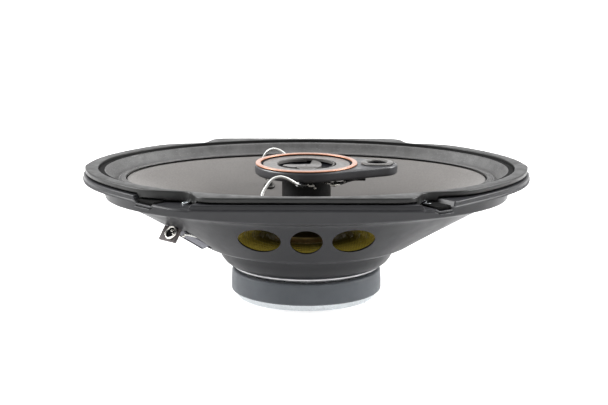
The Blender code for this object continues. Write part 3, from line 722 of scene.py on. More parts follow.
def make_trim():
    """Copper-orange metallic lacquer, with a deeper orange painted in as shade where the ring faces
    sideways.
    """
    finish = plain("trim", (0.43, 0.262, 0.205), 0.34, 0.30, patches=(0.5, 0.10, 1.0),
                   gloss=(2, 0.27, 0.40), specular=0.5)
    # Painted shade: a deeper orange where the ring faces sideways, lighter where it faces up
    finish.tint(finish.ramp(finish.facing("Z"), 0.75, 0.25), (0.50, 0.16, 0.05))
    return finish.bump(finish.stripes(0.35, "Z", rings=True), 0.004, 0.3).material


def make_copper():
    finish = plain("copper", (0.70, 0.30, 0.13), 0.30, 1.0, patches=(2, 0.12))
    return finish.bump(finish.stripes(0.25, "Z"), 0.05, 0.8).material


PAINT = make_paint()
# The bracket's strip has the frame's paint made 11 times lighter, as painted light
LIT_STRIP_PAINT = make_paint("strip_paint_painted_light", 11.0)
SURROUND_RUBBER = make_surround_rubber()
CONE_PULP = make_cone_pulp()
SPIDER_CLOTH = make_spider_cloth()
ZINC = make_zinc()
BOOT_RUBBER = make_boot_rubber()
TRIM = make_trim()
COPPER = make_copper()
GASKET_PLASTIC = plain(
    "gasket_plastic", (0.015, 0.015, 0.0145), 0.34, patches=(14, 0.2), gloss=(6, 0.30, 0.44),
    grain=(0.5, 2.0, 0.012, 0.5), specular=0.32).material
# Black: contact adhesive in the cone's eyelets, and painted shade in slots, creases, grooves and hollows
# elsewhere
BLACK_GLUE_AND_SHADE = plain(
    "black_glue_and_painted_shade", (0.004, 0.004, 0.004), 0.7, patches=(2.0, 0.4), grain=(1.0, 2.0, 0.05, 0.5),
    specular=0.08).material
STEEL = plain(
    "steel", (0.52, 0.52, 0.53), 0.34, 1.0, patches=(3, 0.15), gloss=(2, 0.25, 0.45)).material
FERRITE = plain(
    "ferrite", (0.045, 0.045, 0.05), 0.62, patches=(2.5, 0.3), grain=(0.7, 4.0, 0.06, 0.6)).material
# Spark-grained ABS
POD_PLASTIC = plain(
    "pod_plastic", (0.040, 0.040, 0.043), 0.36, patches=(8, 0.15), gloss=(3, 0.28, 0.44),
    grain=(0.35, 2.0, 0.02, 0.6), specular=0.5).material
POST_PLASTIC = plain(
    "post_plastic", (0.008, 0.008, 0.008), 0.45, patches=(6, 0.2), grain=(0.8, 2.0, 0.02, 0.5),
    specular=0.2).material
# Graphite-grey lacquered plastic
DIFFUSER_PLASTIC = plain(
    "diffuser_plastic", (0.100, 0.096, 0.092), 0.38, 0.1, patches=(0.45, 0.18, 2.0),
    gloss=(2, 0.27, 0.42), grain=(0.5, 2.0, 0.012, 0.5), specular=0.45).material
FILM = plain(
    "diaphragm_film", (0.014, 0.014, 0.018), 0.38, patches=(3, 0.2), grain=(1.2, 2.0, 0.03, 0.4),
    specular=0.4).material
# Solder and tinned brass
TINNED = plain(
    "tinned", (0.78, 0.76, 0.71), 0.24, 1.0, patches=(1.2, 0.2), gloss=(0.8, 0.12, 0.38),
    grain=(0.6, 2.0, 0.05, 0.5)).material
# Silvered tinsel wire, woven over a cord
BRAID = plain(
    "lead_braid", (0.74, 0.74, 0.71), 0.36, 0.35, patches=(0.35, 0.25, 2.0), gloss=(0.4, 0.28, 0.5),
    grain=(0.22, 2.0, 0.04, 0.6)).material
FORMER = plain(
    "former", (0.50, 0.36, 0.15), 0.42, patches=(3, 0.12), grain=(0.5, 2.0, 0.02, 0.5)).material
FIBRE_BOARD = plain(
    "fibre_board", (0.085, 0.072, 0.070), 0.62, patches=(0.9, 0.25, 4.0),
    grain=(0.4, 3.0, 0.04, 0.6)).material
# Lead ends and the capacitor
SLEEVE = plain(
    "black_sleeve", (0.012, 0.012, 0.013), 0.25, patches=(1.5, 0.3), grain=(0.8, 2.0, 0.05, 0.6),
    specular=0.6).material
BRASS = plain(
    "eyelet_brass", (0.045, 0.043, 0.04), 0.42, 0.5, patches=(1.0, 0.2), gloss=(0.8, 0.2, 0.45)).material


def settle(obj, body, material, *nodes, slot=None):
    """Give a finished piece its material and body, and let it stand for its CAD nodes.

    A piece that lies between two bodies has None here.
    The slot argument is not used.
    """
    obj.data.materials.clear()
    obj.data.materials.append(material)
    if nodes:
        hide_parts(*nodes)
    if body is not None:
        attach(obj, body)


def blend_by(obj, share_of):
    """Bake a piece's transform and work out share_of(x, y, z), in millimetres, at each vertex. The shares
    are not used.
    """
    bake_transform(obj)
    weights = [share_of(*(vertex.co / MM)) for vertex in obj.data.vertices]
    return obj


# ---------------------------------------------------------------- basket and gasket

def basket_profile(angle):
    flange, gasket, top = flange_radius(angle), gasket_radius(angle), rim_top(angle)
    ear, slot = in_ear(angle)
    bottom = RIM_BOTTOM_Z - 0.4 * ear - 0.6 * slot
    stations = [
        (flange, bottom, 0),
        (flange, bottom + 0.7, 0.25),
        (flange - 0.45, bottom + 1.0, 0.2),
        (flange - 0.45, top, 0.8),
        (gasket - GASKET_SKIRT - 0.7, top, 0.4),
        (gasket - GASKET_SKIRT - 1.7, FLANGE_TOP_Z, 0.4),
        (oval_radius(angle, OPENING), FLANGE_TOP_Z, 1.2),
        (oval_radius(angle, WALL_BOTTOM), WALL_BOTTOM_Z, 0.9),
        (oval_radius(angle, CONE_WALL_TOP), WALL_BOTTOM_Z - 1.8, 2.2),
        (oval_radius(angle, LEDGE_EDGE), LEDGE_Z + 1.0, 0.8),
        (oval_radius(angle, LEDGE), LEDGE_Z, 0.7),
        (44.4, LEDGE_Z, 2.0),
        (42.4, 22.6, 2.2),
        (40.6, 20.0, 1.4),
        (38.2, FLOOR_Z, 1.2),
        (20.0, FLOOR_Z, 0),
    ]
    return skinned(stations, SHEET)


def window_cutters():
    """Three windows in each long side: a round one between two wider ones."""
    tilt = math.radians(WINDOW_TILT)
    cutters = []
    for side in (-1, 1):
        for place in (-1, 0, 1):
            plan, across = level_axes(90 * side + WINDOW_SPACING * place)
            forward = plan * math.cos(tilt) - lifted(math.sin(tilt))
            matrix = frame_at(plan * (58.0 + 2.2 * abs(place)) + lifted(WINDOW_Z), forward, across)
            matrix = matrix @ Matrix.Diagonal((WIDE_WINDOW if place else 1.0, 1, 1, 1))
            cutters.append(cylinder("window", WINDOW_RADIUS, 15, matrix, 96, WINDOW_TAPER))
    return cutters


def screw_cutters():
    holes = []
    for x_side in (-1, 1):
        for y_side in (-1, 1):
            centre = Matrix.Translation((x_side * SCREW_HOLE[0], y_side * SCREW_HOLE[1], EAR_TOP_Z))
            holes.append(cylinder("screw", 1.6, 8, centre, 32))
    return holes


def terminal_axes():
    """The strip's lower and upper ends, and unit vectors along, across and out of the frame's wall."""
    plan, across = level_axes(TERMINAL_ANGLE)
    start = plan * STRIP_START[0] + lifted(STRIP_START[1])
    end = plan * STRIP_END[0] + lifted(STRIP_END[1])
    along = (end - start).normalized()
    outward = across.cross(along)
    return start, end, along, across, outward if outward.z < 0 else -outward


def make_basket():
    """The stamped frame, as one bent sheet with rounded bends and cut windows."""
    basket = ringed("basket_shell", rim_angles(), basket_profile)
    start, end, _along, across, outward = terminal_axes()
    middle = frame_at((start + end) / 2 - outward * 3, outward, across)
    layers = [[middle @ Vector((x, y, z)) for x, y in SLOT_CORNERS] for z in (-7, 7)]
    cut(basket, window_cutters() + screw_cutters() + [stacked("terminal_slot", layers)])
    settle(shade(basket, 30), ROOT, PAINT, "basket")


def gasket_profile(angle):
    outer = gasket_radius(angle)
    foot = rim_top(angle) + GAP + 1.5 * in_ear(angle)[1]
    inner = oval_radius(angle, GASKET_INNER)
    bottom, top = GASKET_Z
    skirt = outer - GASKET_SKIRT
    profile = [(outer, foot + 0.65), (outer, top), (inner, top), (inner, bottom), (skirt, bottom),
               (skirt, foot), (outer - 1.0, foot)]
    return fillet(profile, [0.25, 0.7, 0.5, 0.2, 0.15, 0.15, 0.2], closed=True)


def make_screw_eyelets():
    """A thin plated ring in each screw hole."""
    for number, (x_side, y_side) in enumerate(((-1, -1), (1, -1), (1, 1), (-1, 1)), start=1):
        ring = turned("screw_ring", [
            (2.0, EAR_TOP_Z + 0.05), (1.9, EAR_TOP_Z + 0.9), (1.1, EAR_TOP_Z + 0.8), (1.1, EAR_TOP_Z - 1.0),
            (1.5, EAR_TOP_Z - 1.0), (1.5, EAR_TOP_Z + 0.05)], 40, 0.12)
        ring.location = Vector((x_side * SCREW_HOLE[0], y_side * SCREW_HOLE[1], 0)) * MM
        ring.name = f"screw_eyelet_{number}"
        settle(shade(ring), ROOT, ZINC)


def make_slot_shade_pads():
    """Black pads of painted shade in the slot at each screw ear, under the gasket."""
    for number, quadrant in enumerate((0, 90, 180, 270), start=1):
        degrees = LONG_EAR[1] if quadrant in (0, 180) else SHORT_EAR[1]
        turns = [degrees[0] + (degrees[1] - degrees[0]) * i / 12 for i in range(13)]
        if quadrant in (90, 270):
            turns = [90 - turn for turn in turns]
        angles = [math.radians(quadrant + turn) for turn in turns]
        outline = [(flange_radius(angle) - 1.7, angle) for angle in angles]
        outline += [(gasket_radius(angle) + 0.3, angle) for angle in reversed(angles)]
        layers = [[polar(angle, radius, z) for radius, angle in outline] for z in (60.1, 61.7)]
        # Painted shade: a black pad where the slot under the gasket lies in shadow
        settle(shade(bevel(stacked(f"slot_painted_shade_{number}", layers), 0.2)), ROOT, BLACK_GLUE_AND_SHADE, slot="gasket")


def make_gasket():
    gasket = ringed("gasket_ring", rim_angles(), gasket_profile)
    settle(shade(gasket, 30), ROOT, GASKET_PLASTIC, "front_gasket", slot="gasket")


# ---------------------------------------------------------------- surround, cone, spider, voice coil

# Stations of the roll: ((half length, half width), height, rounding)
SURROUND = [
    ((103.0, 74.0), 65.1, 0), ((100.6, 71.6), 65.1, 0.7), ((99.4, 70.0), 62.6, 0.9),
    ((97.6, 67.9), 60.2, 1.4), ((95.6, 65.6), 59.6, 1.4), ((94.6, 64.6), 60.6, 0.4),
    ((94.0, 64.0), 60.7, 0.3), ((93.7, 63.7), 60.4, 0.3), ((92.9, 63.0), 61.0, 0.4),
    ((91.9, 62.0), 61.1, 0.3), ((91.7, 61.8), 61.45, 0.25), ((91.0, 61.1), 61.45, 0.25),
    ((90.8, 60.9), 60.9, 0)]


def flat_ring(name, outer, inner, bottom, top):
    """A thin oval ring."""
    def profile(angle):
        wide, narrow = oval_radius(angle, outer), oval_radius(angle, inner)
        return [(wide, bottom), (wide, top), (narrow, top), (narrow, bottom)]

    return shade(ringed(name, spread(240), profile))


def make_surround():
    """A sunken rubber roll, with a bead round its inner lip, and black rings of painted shade along both
    edges.
    """
    def profile(angle):
        stations = [(oval_radius(angle, halves), height, rounding) for halves, height, rounding in SURROUND]
        return skinned(stations, 0.6, 5)

    surround = ringed("surround_roll", spread(360), profile)
    settle(shade(surround, 45), None, SURROUND_RUBBER, "surround")
    outer, inner = (100.4, 71.3), (92.9, 63.0)

    def share(x, y, _z):
        """0 outside the outer oval, 1 inside the inner oval."""
        angle = math.atan2(y, x)
        distance = math.hypot(x, y)
        start, end = oval_radius(angle, outer), oval_radius(angle, inner)
        return smooth_step(0, 1, (start - distance) / (start - end))

    blend_by(surround, share)
    # Painted shade: a black ring on the sunken outer lip, where the gasket shades it
    outer_painted_shade = flat_ring("surround_outer_painted_shade", (104.2, 74.8), (101.3, 72.6), 65.12, 65.2)
    settle(outer_painted_shade, ROOT, BLACK_GLUE_AND_SHADE, slot="surround_rubber")
    # Painted shade: a black ring in the crease between the roll and the cone
    inner_painted_shade = flat_ring("surround_inner_painted_shade", (90.7, 60.8), (90.0, 60.1), 60.2, 60.34)
    settle(inner_painted_shade, CONE_BODY, BLACK_GLUE_AND_SHADE, slot="surround_rubber")


def cone_station(share):
    """The oval and height of the cone's upper face, from its edge (0) to its neck (1)."""
    halves = mix(CONE_INNER_EDGE, (NECK_RADIUS, NECK_RADIUS), share)
    drop = (CONE_EDGE_Z - NECK_Z) * share + CONE_BOW * math.sin(math.pi * share)
    return halves, CONE_EDGE_Z - drop


def cone_surface(x, y):
    """Height and upward normal of the cone's upper face at a point inside it."""
    def height_at(px, py):
        start, end = 0.0, 1.0
        for _ in range(40):
            share = (start + end) / 2
            halves, _height = cone_station(share)
            outside = math.hypot(px / halves[0], py / halves[1]) > 1
            start, end = (start, share) if outside else (share, end)
        return cone_station(start)[1]

    step = 0.5
    rise_x = (height_at(x + step, y) - height_at(x - step, y)) / (2 * step)
    rise_y = (height_at(x, y + step) - height_at(x, y - step)) / (2 * step)
    return height_at(x, y), Vector((-rise_x, -rise_y, 1)).normalized()


def make_cone():
    def profile(angle):
        stations = [(oval_radius(angle, (92.3, 62.3)), CONE_EDGE_Z, 0)]
        for i in range(25):
            halves, height = cone_station(i / 24)
            stations.append((oval_radius(angle, halves), height, 0))
        return skinned(stations, 0.8)

    cone = ringed("cone_skin", spread(240), profile)
    settle(shade(cone, 45), CONE_BODY, CONE_PULP, "cone", slot="cone_paper")


def make_spider():
    """Corrugated cloth from the ledge to the voice coil."""
    def profile(_angle):
        stations = [(48.2, 29.4, 0), (45.4, 29.4, 0)]
        steps = SPIDER_WAVES * 12
        for i in range(steps + 1):
            share = i / steps
            wave = math.sin(math.tau * SPIDER_WAVES * share)
            fade = min(1.0, 6 * share, 6 * (1 - share))
            stations.append((44.2 - 27.4 * share, 29.8 + 1.0 * wave * fade, 0))
        return skinned(stations + [(15.4, 29.7, 0), (13.9, 29.6, 0)], 0.45)

    spider = ringed("spider_cloth", spread(180), profile)
    settle(shade(spider, 60), None, SPIDER_CLOTH, "spider")
    blend_by(spider, lambda x, y, _z: smooth_step(0, 1, (45.0 - math.hypot(x, y)) / 29.0))


def make_voice_coil():
    former = turned("coil_former", [(13.2, 33.5), (13.2, 9.3), (12.9, 9.3), (12.9, 33.5)], 96)
    settle(shade(former), CONE_BODY, FORMER, "voice_coil_former")
    turns = []
    top, pitch, count = 17.5, 0.4, 20
    for i in range(count):
        z = top - pitch * i
        turns += [(13.75, z), (14.0, z - 0.12), (14.0, z - 0.28)]
    profile = turns + [(13.75, 9.5), (13.4, 9.5), (13.4, top)]
    settle(shade(turned("coil_winding", profile, 96)), CONE_BODY, COPPER, "voice_coil_winding")


# ---------------------------------------------------------------- motor

def make_back_plate():
    """The back plate and its pole, in one piece."""
    plate = turned("back_plate_turned", [
        (POLE_RADIUS, POLE_TOP_Z), (POLE_RADIUS, PLATE_TOP_Z), (PLATE_RADIUS, PLATE_TOP_Z),
        (PLATE_RADIUS, 0), (24.2, 0), (23.6, 0.35), (22.6, 0.35), (22.0, 0), (4.0, 0), (4.0, POLE_TOP_Z)],
        160, [0.5, 0.8, 0.7, 0.9, 0.1, 0.1, 0.1, 0.1, 0.5, 0.4])
    settle(shade(plate), ROOT, ZINC, "back_plate")


def make_magnet():
    """The ring magnet, with the front plate on it."""
    magnet = turned("magnet_ring", [(34, 11.7), (34, 4.5), (18, 4.5), (18, 11.7)], 128, 0.6)
    settle(shade(magnet), ROOT, FERRITE, "ferrite_magnet")
    front = turned("front_plate_ring", [
        (37.4, 17.0), (37.2, 15.7), (33.8, 15.4), (33.8, 12), (14.6, 12), (14.6, 17.0)], 160,
        [0.6, 0.9, 0.4, 0.4, 0.4, 0.4])
    settle(shade(front), ROOT, STEEL, "front_plate", slot="zinc")


def make_boot():
    bottom, top = BOOT_Z
    radius = BOOT_RADIUS
    boot = turned("magnet_boot_moulding", [
        (radius - 0.2, top + 0.3), (radius, bottom + 5.0), (radius, bottom), (35.5, bottom),
        (35.5, top - 1.4), (34.3, top - 1.4), (34.3, top + 0.3)], 192, [1.2, 0.5, 0.9, 0.3, 0.2, 0.2, 0.4])
    settle(shade(boot), ROOT, BOOT_RUBBER, "magnet_boot")


def make_fixings():
    """The rivets that hold the frame to the front plate, and the post's bolt."""
    for number, angle in enumerate(spread(4), start=1):
        angle += math.radians(45)
        rivet = turned("rivet", [(0, 19.7), (1.2, 19.65), (2.1, 19.2), (2.4, 18.6), (0, 18.6)], 32)
        rivet.location = polar(angle) * 29.0 * MM
        rivet.name = f"rivet_head_{number}"
        settle(shade(rivet), ROOT, STEEL, f"frame_rivet_{number}", slot="zinc")
    bolt = turned("post_bolt_steel", [
        (0, 26.0), (2.5, 26.0), (2.5, 3.4), (3.6, 3.4), (3.6, 0.8), (2.0, 0.8), (1.7, 1.8), (0, 1.8)],
        48, [0, 0.3, 0, 0.3, 0.4, 0.2, 0, 0])
    settle(shade(bolt), ROOT, STEEL, "post_bolt", slot="zinc")


# ---------------------------------------------------------------- tweeter pod

def pod_outline(height, inset=0.0):
    """The teardrop seen from the front: a large arc and a small one, joined by straight sides."""
    big, small = POD_RADIUS - inset, ARM_RADIUS - inset
    meet = math.acos((big - small) / ARM_X)
    outline = []
    for i in range(41):
        angle = -meet + 2 * meet * i / 40
        outline.append((ARM_X + small * math.cos(angle), small * math.sin(angle), height))
    for i in range(121):
        angle = meet + (math.tau - 2 * meet) * i / 120
        outline.append((big * math.cos(angle), big * math.sin(angle), height))
    return outline


def make_post():
    bottom, top = POST_Z
    post = turned("post_moulding", [
        (0, 54.7), (10.0, 54.7), (10.0, top), (POST_RADIUS, top), (POST_RADIUS, 40.0),
        (POST_RADIUS - 0.3, bottom), (2.9, bottom), (2.9, 27.0), (0, 27.0)],
        96, [0, 0.2, 0.2, 0.3, 0.5, 0.4, 0.2, 0.2, 0])
    settle(shade(post), ROOT, POST_PLASTIC, "tweeter_post", slot="pod_plastic")


def make_housing():
    """The teardrop pod, with rounded rims, and seats for the ring, the bezel and both motors."""
    bottom, top = POD_Z
    levels = [(bottom, 3.0), (bottom, 1.5), (bottom + 0.15, 0.9), (bottom + 0.6, 0.35), (bottom + 1.3, 0.08),
              (bottom + 2.2, 0.0), (top - 1.3, 0.0), (top - 0.75, 0.06), (top - 0.35, 0.28),
              (top - 0.1, 0.62), (top, 1.1)]
    housing = stacked("pod_housing", [pod_outline(height, inset) for height, inset in levels])
    depth = 10.0
    middle = 63.2 + depth / 2
    ring_seat = cylinder("ring_seat", 24.6, 2.0, Matrix.Translation((0, 0, top + 0.55)), 128)
    bezel_seat = cylinder("bezel_seat", 8.4, 2.0, Matrix.Translation((ARM_X, 0, top + 0.75)), 96)
    cut(housing, [
        cylinder("cavity", 23.7, depth, Matrix.Translation((0, 0, middle)), 128),
        cylinder("arm_cavity", 7.5, depth, Matrix.Translation((ARM_X, 0, middle)), 64),
        cylinder("motor_hole", 9.5, depth, Matrix.Translation((0, 0, 63.2)), 64),
        ring_seat, bezel_seat])
    settle(shade(housing, 30), ROOT, POD_PLASTIC, "tweeter_housing")


def make_trim_ring():
    inner, outer = RING_RADII
    bottom, top = RING_Z
    ring = turned("trim_ring_lacquered", [
        (outer - 0.35, top), (outer, top - 0.35), (outer, bottom), (inner, bottom), (inner, top - 0.3),
        (inner + 0.35, top), ((inner + outer) / 2, top + 0.08)],
        192, [0.2, 0.15, 0.05, 0.05, 0.15, 0.2, 1.0])
    settle(shade(ring), ROOT, TRIM, "trim_ring")


# The diffuser's three spiral slots: where the first starts, and one as (degrees on, radius, width)
SWIRL_START = 172.0
SWIRL = [(0, 15.0, 0.4), (60, 14.5, 1.2), (110, 13.1, 3.2), (150, 11.1, 5.8), (185, 9.7, 7.4),
         (217, 8.9, 7.6)]


def diffuser_height(radius):
    """A dish that sinks in towards a domed hub."""
    dish = 65.8 + 1.5 * smooth_step(6.0, 15.5, radius)
    return dish + 0.8 * math.sqrt(max(0.0, 1 - (radius / 5.2) ** 2))


def swirl_cutter(turn):
    """A prism that cuts one spiral slot, turning clockwise as it runs inwards."""
    route = smooth_route(SWIRL, 40)
    outer, inner = [], []
    for degrees, radius, width in route:
        angle = turn - math.radians(degrees)
        ray = Vector((math.cos(angle), math.sin(angle)))
        outer.append(ray * (radius + width / 2))
        inner.append(ray * (radius - width / 2))
    outline = outer + list(reversed(inner))
    return stacked("swirl", [[(x, y, z) for x, y in outline] for z in (60, 72)])


def make_diffuser():
    """A dished disc with a hub, opened by three slots that spiral round it."""
    radii = [i / 2 for i in range(44)] + [DIFFUSER_RADIUS]
    profile = skinned([(radius, diffuser_height(radius), 0) for radius in reversed(radii)], 1.25)
    plate = ringed("diffuser_disc", spread(240), lambda angle: profile)
    cut(plate, [swirl_cutter(math.radians(SWIRL_START) + turn) for turn in spread(3)])
    nub = turned("nub", [(0, 66.75), (0.5, 66.7), (0.8, 66.4), (0.8, 66.0), (0, 66.0)], 32)
    diffuser = joined("swirl_diffuser", [plate, nub])
    settle(shade(diffuser, 40), ROOT, DIFFUSER_PLASTIC, "midrange_diffuser")


def make_midrange():
    diaphragm = turned("midrange_dome", [
        (0, 64.9), (2.5, 64.7), (4.8, 64.2), (7.0, 63.9), (9.0, 63.9), (14.0, 64.5), (19.0, 65.0),
        (20.6, 65.0), (21.8, 64.6), (23.3, 64.6), (23.3, 64.3), (21.8, 64.3), (20.6, 64.7), (19.0, 64.7),
        (14.0, 64.2), (9.0, 63.6), (7.0, 63.6), (4.8, 63.9), (2.5, 64.4), (0, 64.6)], 96)
    settle(shade(diaphragm, 60), MIDRANGE_BODY, FILM, "midrange_diaphragm")


def make_super_tweeter():
    """Washer-shaped bezel, with a small dome inside."""
    def at_arm(obj):
        obj.location.x = (ARM_X - 0.5) * MM
        return obj

    bezel = turned("bezel_washer", [
        (7.3, 68.6), (8.1, 68.2), (8.1, 67.7), (5.1, 67.7), (5.1, 68.1), (5.9, 68.6)],
        96, [0.4, 0.2, 0.05, 0.05, 0.15, 0.3])
    settle(shade(at_arm(bezel)), ROOT, DIFFUSER_PLASTIC, "super_tweeter_bezel")
    dome = turned("tweeter_dome", [
        (0, 67.35), (1.2, 67.25), (2.4, 66.95), (3.4, 66.45), (4.0, 66.1), (4.5, 66.35), (5.0, 66.45),
        (5.5, 66.2), (7.1, 66.2), (7.1, 65.9), (4.0, 65.85), (2.4, 66.6), (0, 67.05)], 72)
    settle(shade(at_arm(dome), 60), TWEETER_BODY, FILM, "super_tweeter_dome")


# ---------------------------------------------------------------- leads and hardware

def braid_radius(radius):
    """Radius of a braided lead: strands wind both ways and pass over and under each other."""
    strands, pitch, relief = 5, 4.6, 0.17

    def at(distance, angle):
        turn = math.tau * distance / pitch
        over = 0.5 + 0.5 * math.sin(strands * angle * 2)
        right = math.cos(strands * (angle + turn)) * (0.75 + 0.25 * over)
        left = math.cos(strands * (angle - turn)) * (1 - 0.25 * over)
        return radius * (1 - relief + relief * max(right, left, 0))

    return at


def make_lead(name, node, points, radius, count, hold):
    """A braided lead, between the frame and the cone, attached to no body."""
    route = smooth_route(points, count)
    lead = shade(tube(name, route, braid_radius(radius), 20), 80)
    settle(lead, None, BRAID, node)
    places = np.array([tuple(place) for place in route])

    def share(x, y, z):
        nearest = int(np.argmin(((places - np.array((x, y, z))) ** 2).sum(1)))
        return smooth_step(hold, 1 - hold, nearest / (len(route) - 1))

    blend_by(lead, share)


def rear_lead_points(side):
    _start, end, along, across, outward = terminal_axes()
    inward = -level_axes(TERMINAL_ANGLE)[0]
    entry = end - along + across * REAR_LEAD_OFFSET * side - outward * 0.2
    return [entry + inward * reach + lifted(rise) for reach, rise in REAR_LEAD]


def make_leads():
    make_lead("braided_lead_front", "tinsel_lead_front", FRONT_LEAD, TINSEL_RADIUS, 190, 0.08)
    make_lead("braided_lead_back", "tinsel_lead_back", BACK_LEAD, TINSEL_RADIUS, 210, 0.08)
    for pole, side in (("positive", 1), ("negative", -1)):
        make_lead(f"braided_rear_lead_{pole}", f"rear_lead_{pole}", rear_lead_points(side),
                  REAR_LEAD_RADIUS, 120, 0.05)


# Solder lugs on the post: (polar angle in degrees, length)
LUGS = {"lead_lug_front": (-83.0, 8.0), "lead_lug_side": (-48.0, 10.5), "lead_lug_back": (104.0, 8.0)}
LEAD_SLEEVE = [
    (4.6, -17.4, 58.4), (2.4, -18.6, 59.6), (0.0, -20.4, 60.7), (-1.7, -23.4, 61.1),
    (-3.4, -27.2, 61.8), (-4.4, -28.2, 62.4)]
SIDE_WIRE = [(13.6, -16.0, 60.9), (17.0, -15.2, 60.4), (20.6, -13.2, 61.2), (25.4, -10.6, 61.9)]
# Drops of solder: (place, size)
SOLDER_DROPS = [
    ((0.6, -21.2, 60.9), (1.5, 1.2, 1.2)), ((4.2, -18.6, 58.6), (1.5, 1.5, 1.3)),
    ((13.4, -16.6, 59.9), (3.4, 2.4, 2.0)), ((18.8, -14.6, 61.1), (1.5, 1.4, 1.2))]


def make_lugs():
    """Solder lugs on the post, with sleeves and solder where the leads end."""
    for seed, (name, (degrees, length)) in enumerate(LUGS.items()):
        plan, across = level_axes(degrees)
        centre = plan * (POST_RADIUS + 0.4 + length / 2) + lifted(60.0)
        lug = block(name + "_blade", centre, (length, 3.0, 0.6), plan, across, 0.12)
        tip = centre + plan * (length / 2 - 2.2) + lifted(0.4)
        solder = blob("solder", tip, (3.0, 2.4, 1.4), seed)
        settle(shade(joined(name + "_soldered", [lug, solder]), 40), ROOT, TINNED, name)
    sleeves = (("lead_sleeve_front", LEAD_SLEEVE, 1.05), ("side_wire_sleeve", SIDE_WIRE, 0.75))
    for name, points, radius in sleeves:
        def wrinkled(distance, angle, radius=radius):
            return radius * (1 + 0.06 * math.sin(3 * angle + 2.5 * distance))

        sleeve = tube(name, smooth_route(points, 48), wrinkled)
        settle(shade(sleeve), ROOT, SLEEVE, slot="capacitor_sleeve")
    drops = [blob("solder", place, size, seed) for seed, (place, size) in enumerate(SOLDER_DROPS)]
    settle(joined("solder_drops", drops), ROOT, TINNED)


def make_capacitor():
    capacitor = turned("capacitor_can", [(0, 4.4), (2.0, 4.4), (2.0, -4.4), (0, -4.4)], 48, 0.5)
    capacitor.location = Vector((25.5, 3.0, 60.0)) * MM
    capacitor.rotation_euler = (0, math.radians(90), 0)
    settle(shade(capacitor), ROOT, SLEEVE, "tweeter_capacitor", slot="capacitor_sleeve")


def make_eyelets():
    """Rolled eyelets with a dab of glue in them, where the leads pass through the cone."""
    pieces = (
        ("rolled", BRASS, [(2.5, 0.35), (2.3, 0.95), (1.5, 1.1), (1.3, 0.35)], 48, 0.25),
        ("glue", BLACK_GLUE_AND_SHADE, [(2.9, 0.06), (1.6, 0.75), (0, 0.9), (0, 0.06)], 40, 0.3))
    for name, side in (("cone_eyelet_front", -1), ("cone_eyelet_back", 1)):
        x, y = EYELET[0], side * EYELET[1]
        height, normal = cone_surface(x, y)
        place = frame_at(Vector((x, y, height)) * MM, normal, normal.orthogonal())
        for kind, material, profile, sides, rounding in pieces:
            piece = turned(f"{name}_{kind}", profile, sides, rounding)
            piece.matrix_world = place
            bpy.context.view_layer.update()
            stands_for = [name] if kind == "rolled" else []
            settle(shade(piece), CONE_BODY, material, *stands_for, slot="eyelet_brass")


def board_axes():
    """Unit vectors up the terminal board, across it and out of its visible face."""
    tilt = math.radians(BOARD_TILT)
    plan, across = level_axes(BOARD_ANGLE)
    up = lifted(math.cos(tilt)) - plan * math.sin(tilt)
    return up, across, plan * math.cos(tilt) + lifted(math.sin(tilt))


def make_terminal_strip():
    """The bracket's strip, turned about its length and painted lighter as painted light, with a black line
    of painted shade for a groove, and the lead's solder.
    """
    start, end, along, across, outward = terminal_axes()
    length = (end - start).length
    turn = math.radians(STRIP_TURN)
    wide = across * math.cos(turn) - outward * math.sin(turn)
    top = outward * math.cos(turn) + across * math.sin(turn)
    middle = (start + end) / 2 + wide * STRIP_SHIFT
    strip = block("terminal_strip", middle, (length, STRIP_WIDTH, 0.8), along, wide, 0.25)
    # The strip's lighter paint is painted light
    settle(strip, ROOT, LIT_STRIP_PAINT, "terminal_bracket", slot="frame_paint")
    groove_shade_middle = middle - wide * (STRIP_WIDTH / 2 - 1.0) + top * 0.42
    # Painted shade: a black line laid on the strip for the shade in a groove
    groove_shade = block("terminal_strip_groove_shade", groove_shade_middle, (length - 1.5, 0.5, 0.14), along, wide, 0.05)
    settle(groove_shade, ROOT, BLACK_GLUE_AND_SHADE, slot="frame_paint")
    entry = end - along * 1.2 + across * REAR_LEAD_OFFSET + outward * 0.6
    settle(blob("lead_entry_solder", entry, (1.7, 1.7, 1.1), 9), ROOT, TINNED)


def make_terminal_board():
    """The fibre board, with a tab for each lead behind it."""
    up, side, face = board_axes()
    middle = Vector(BOARD_FOOT) + up * BOARD_SIZE[0] / 2
    board = block("terminal_board_fibre", middle, BOARD_SIZE, up, side, 0.12)
    settle(board, ROOT, FIBRE_BOARD, "terminal_board")
    for name, offset, width in (("terminal_tab_positive", 2.6, 4.2), ("terminal_tab_negative", -3.0, 2.8)):
        centre = middle - face * (BOARD_SIZE[2] / 2 + 0.7) + side * offset - up * 0.4
        tab = block(name + "_blade", centre, (5.6, width, 0.8), up, side, 0.12)
        settle(tab, ROOT, TINNED, name)


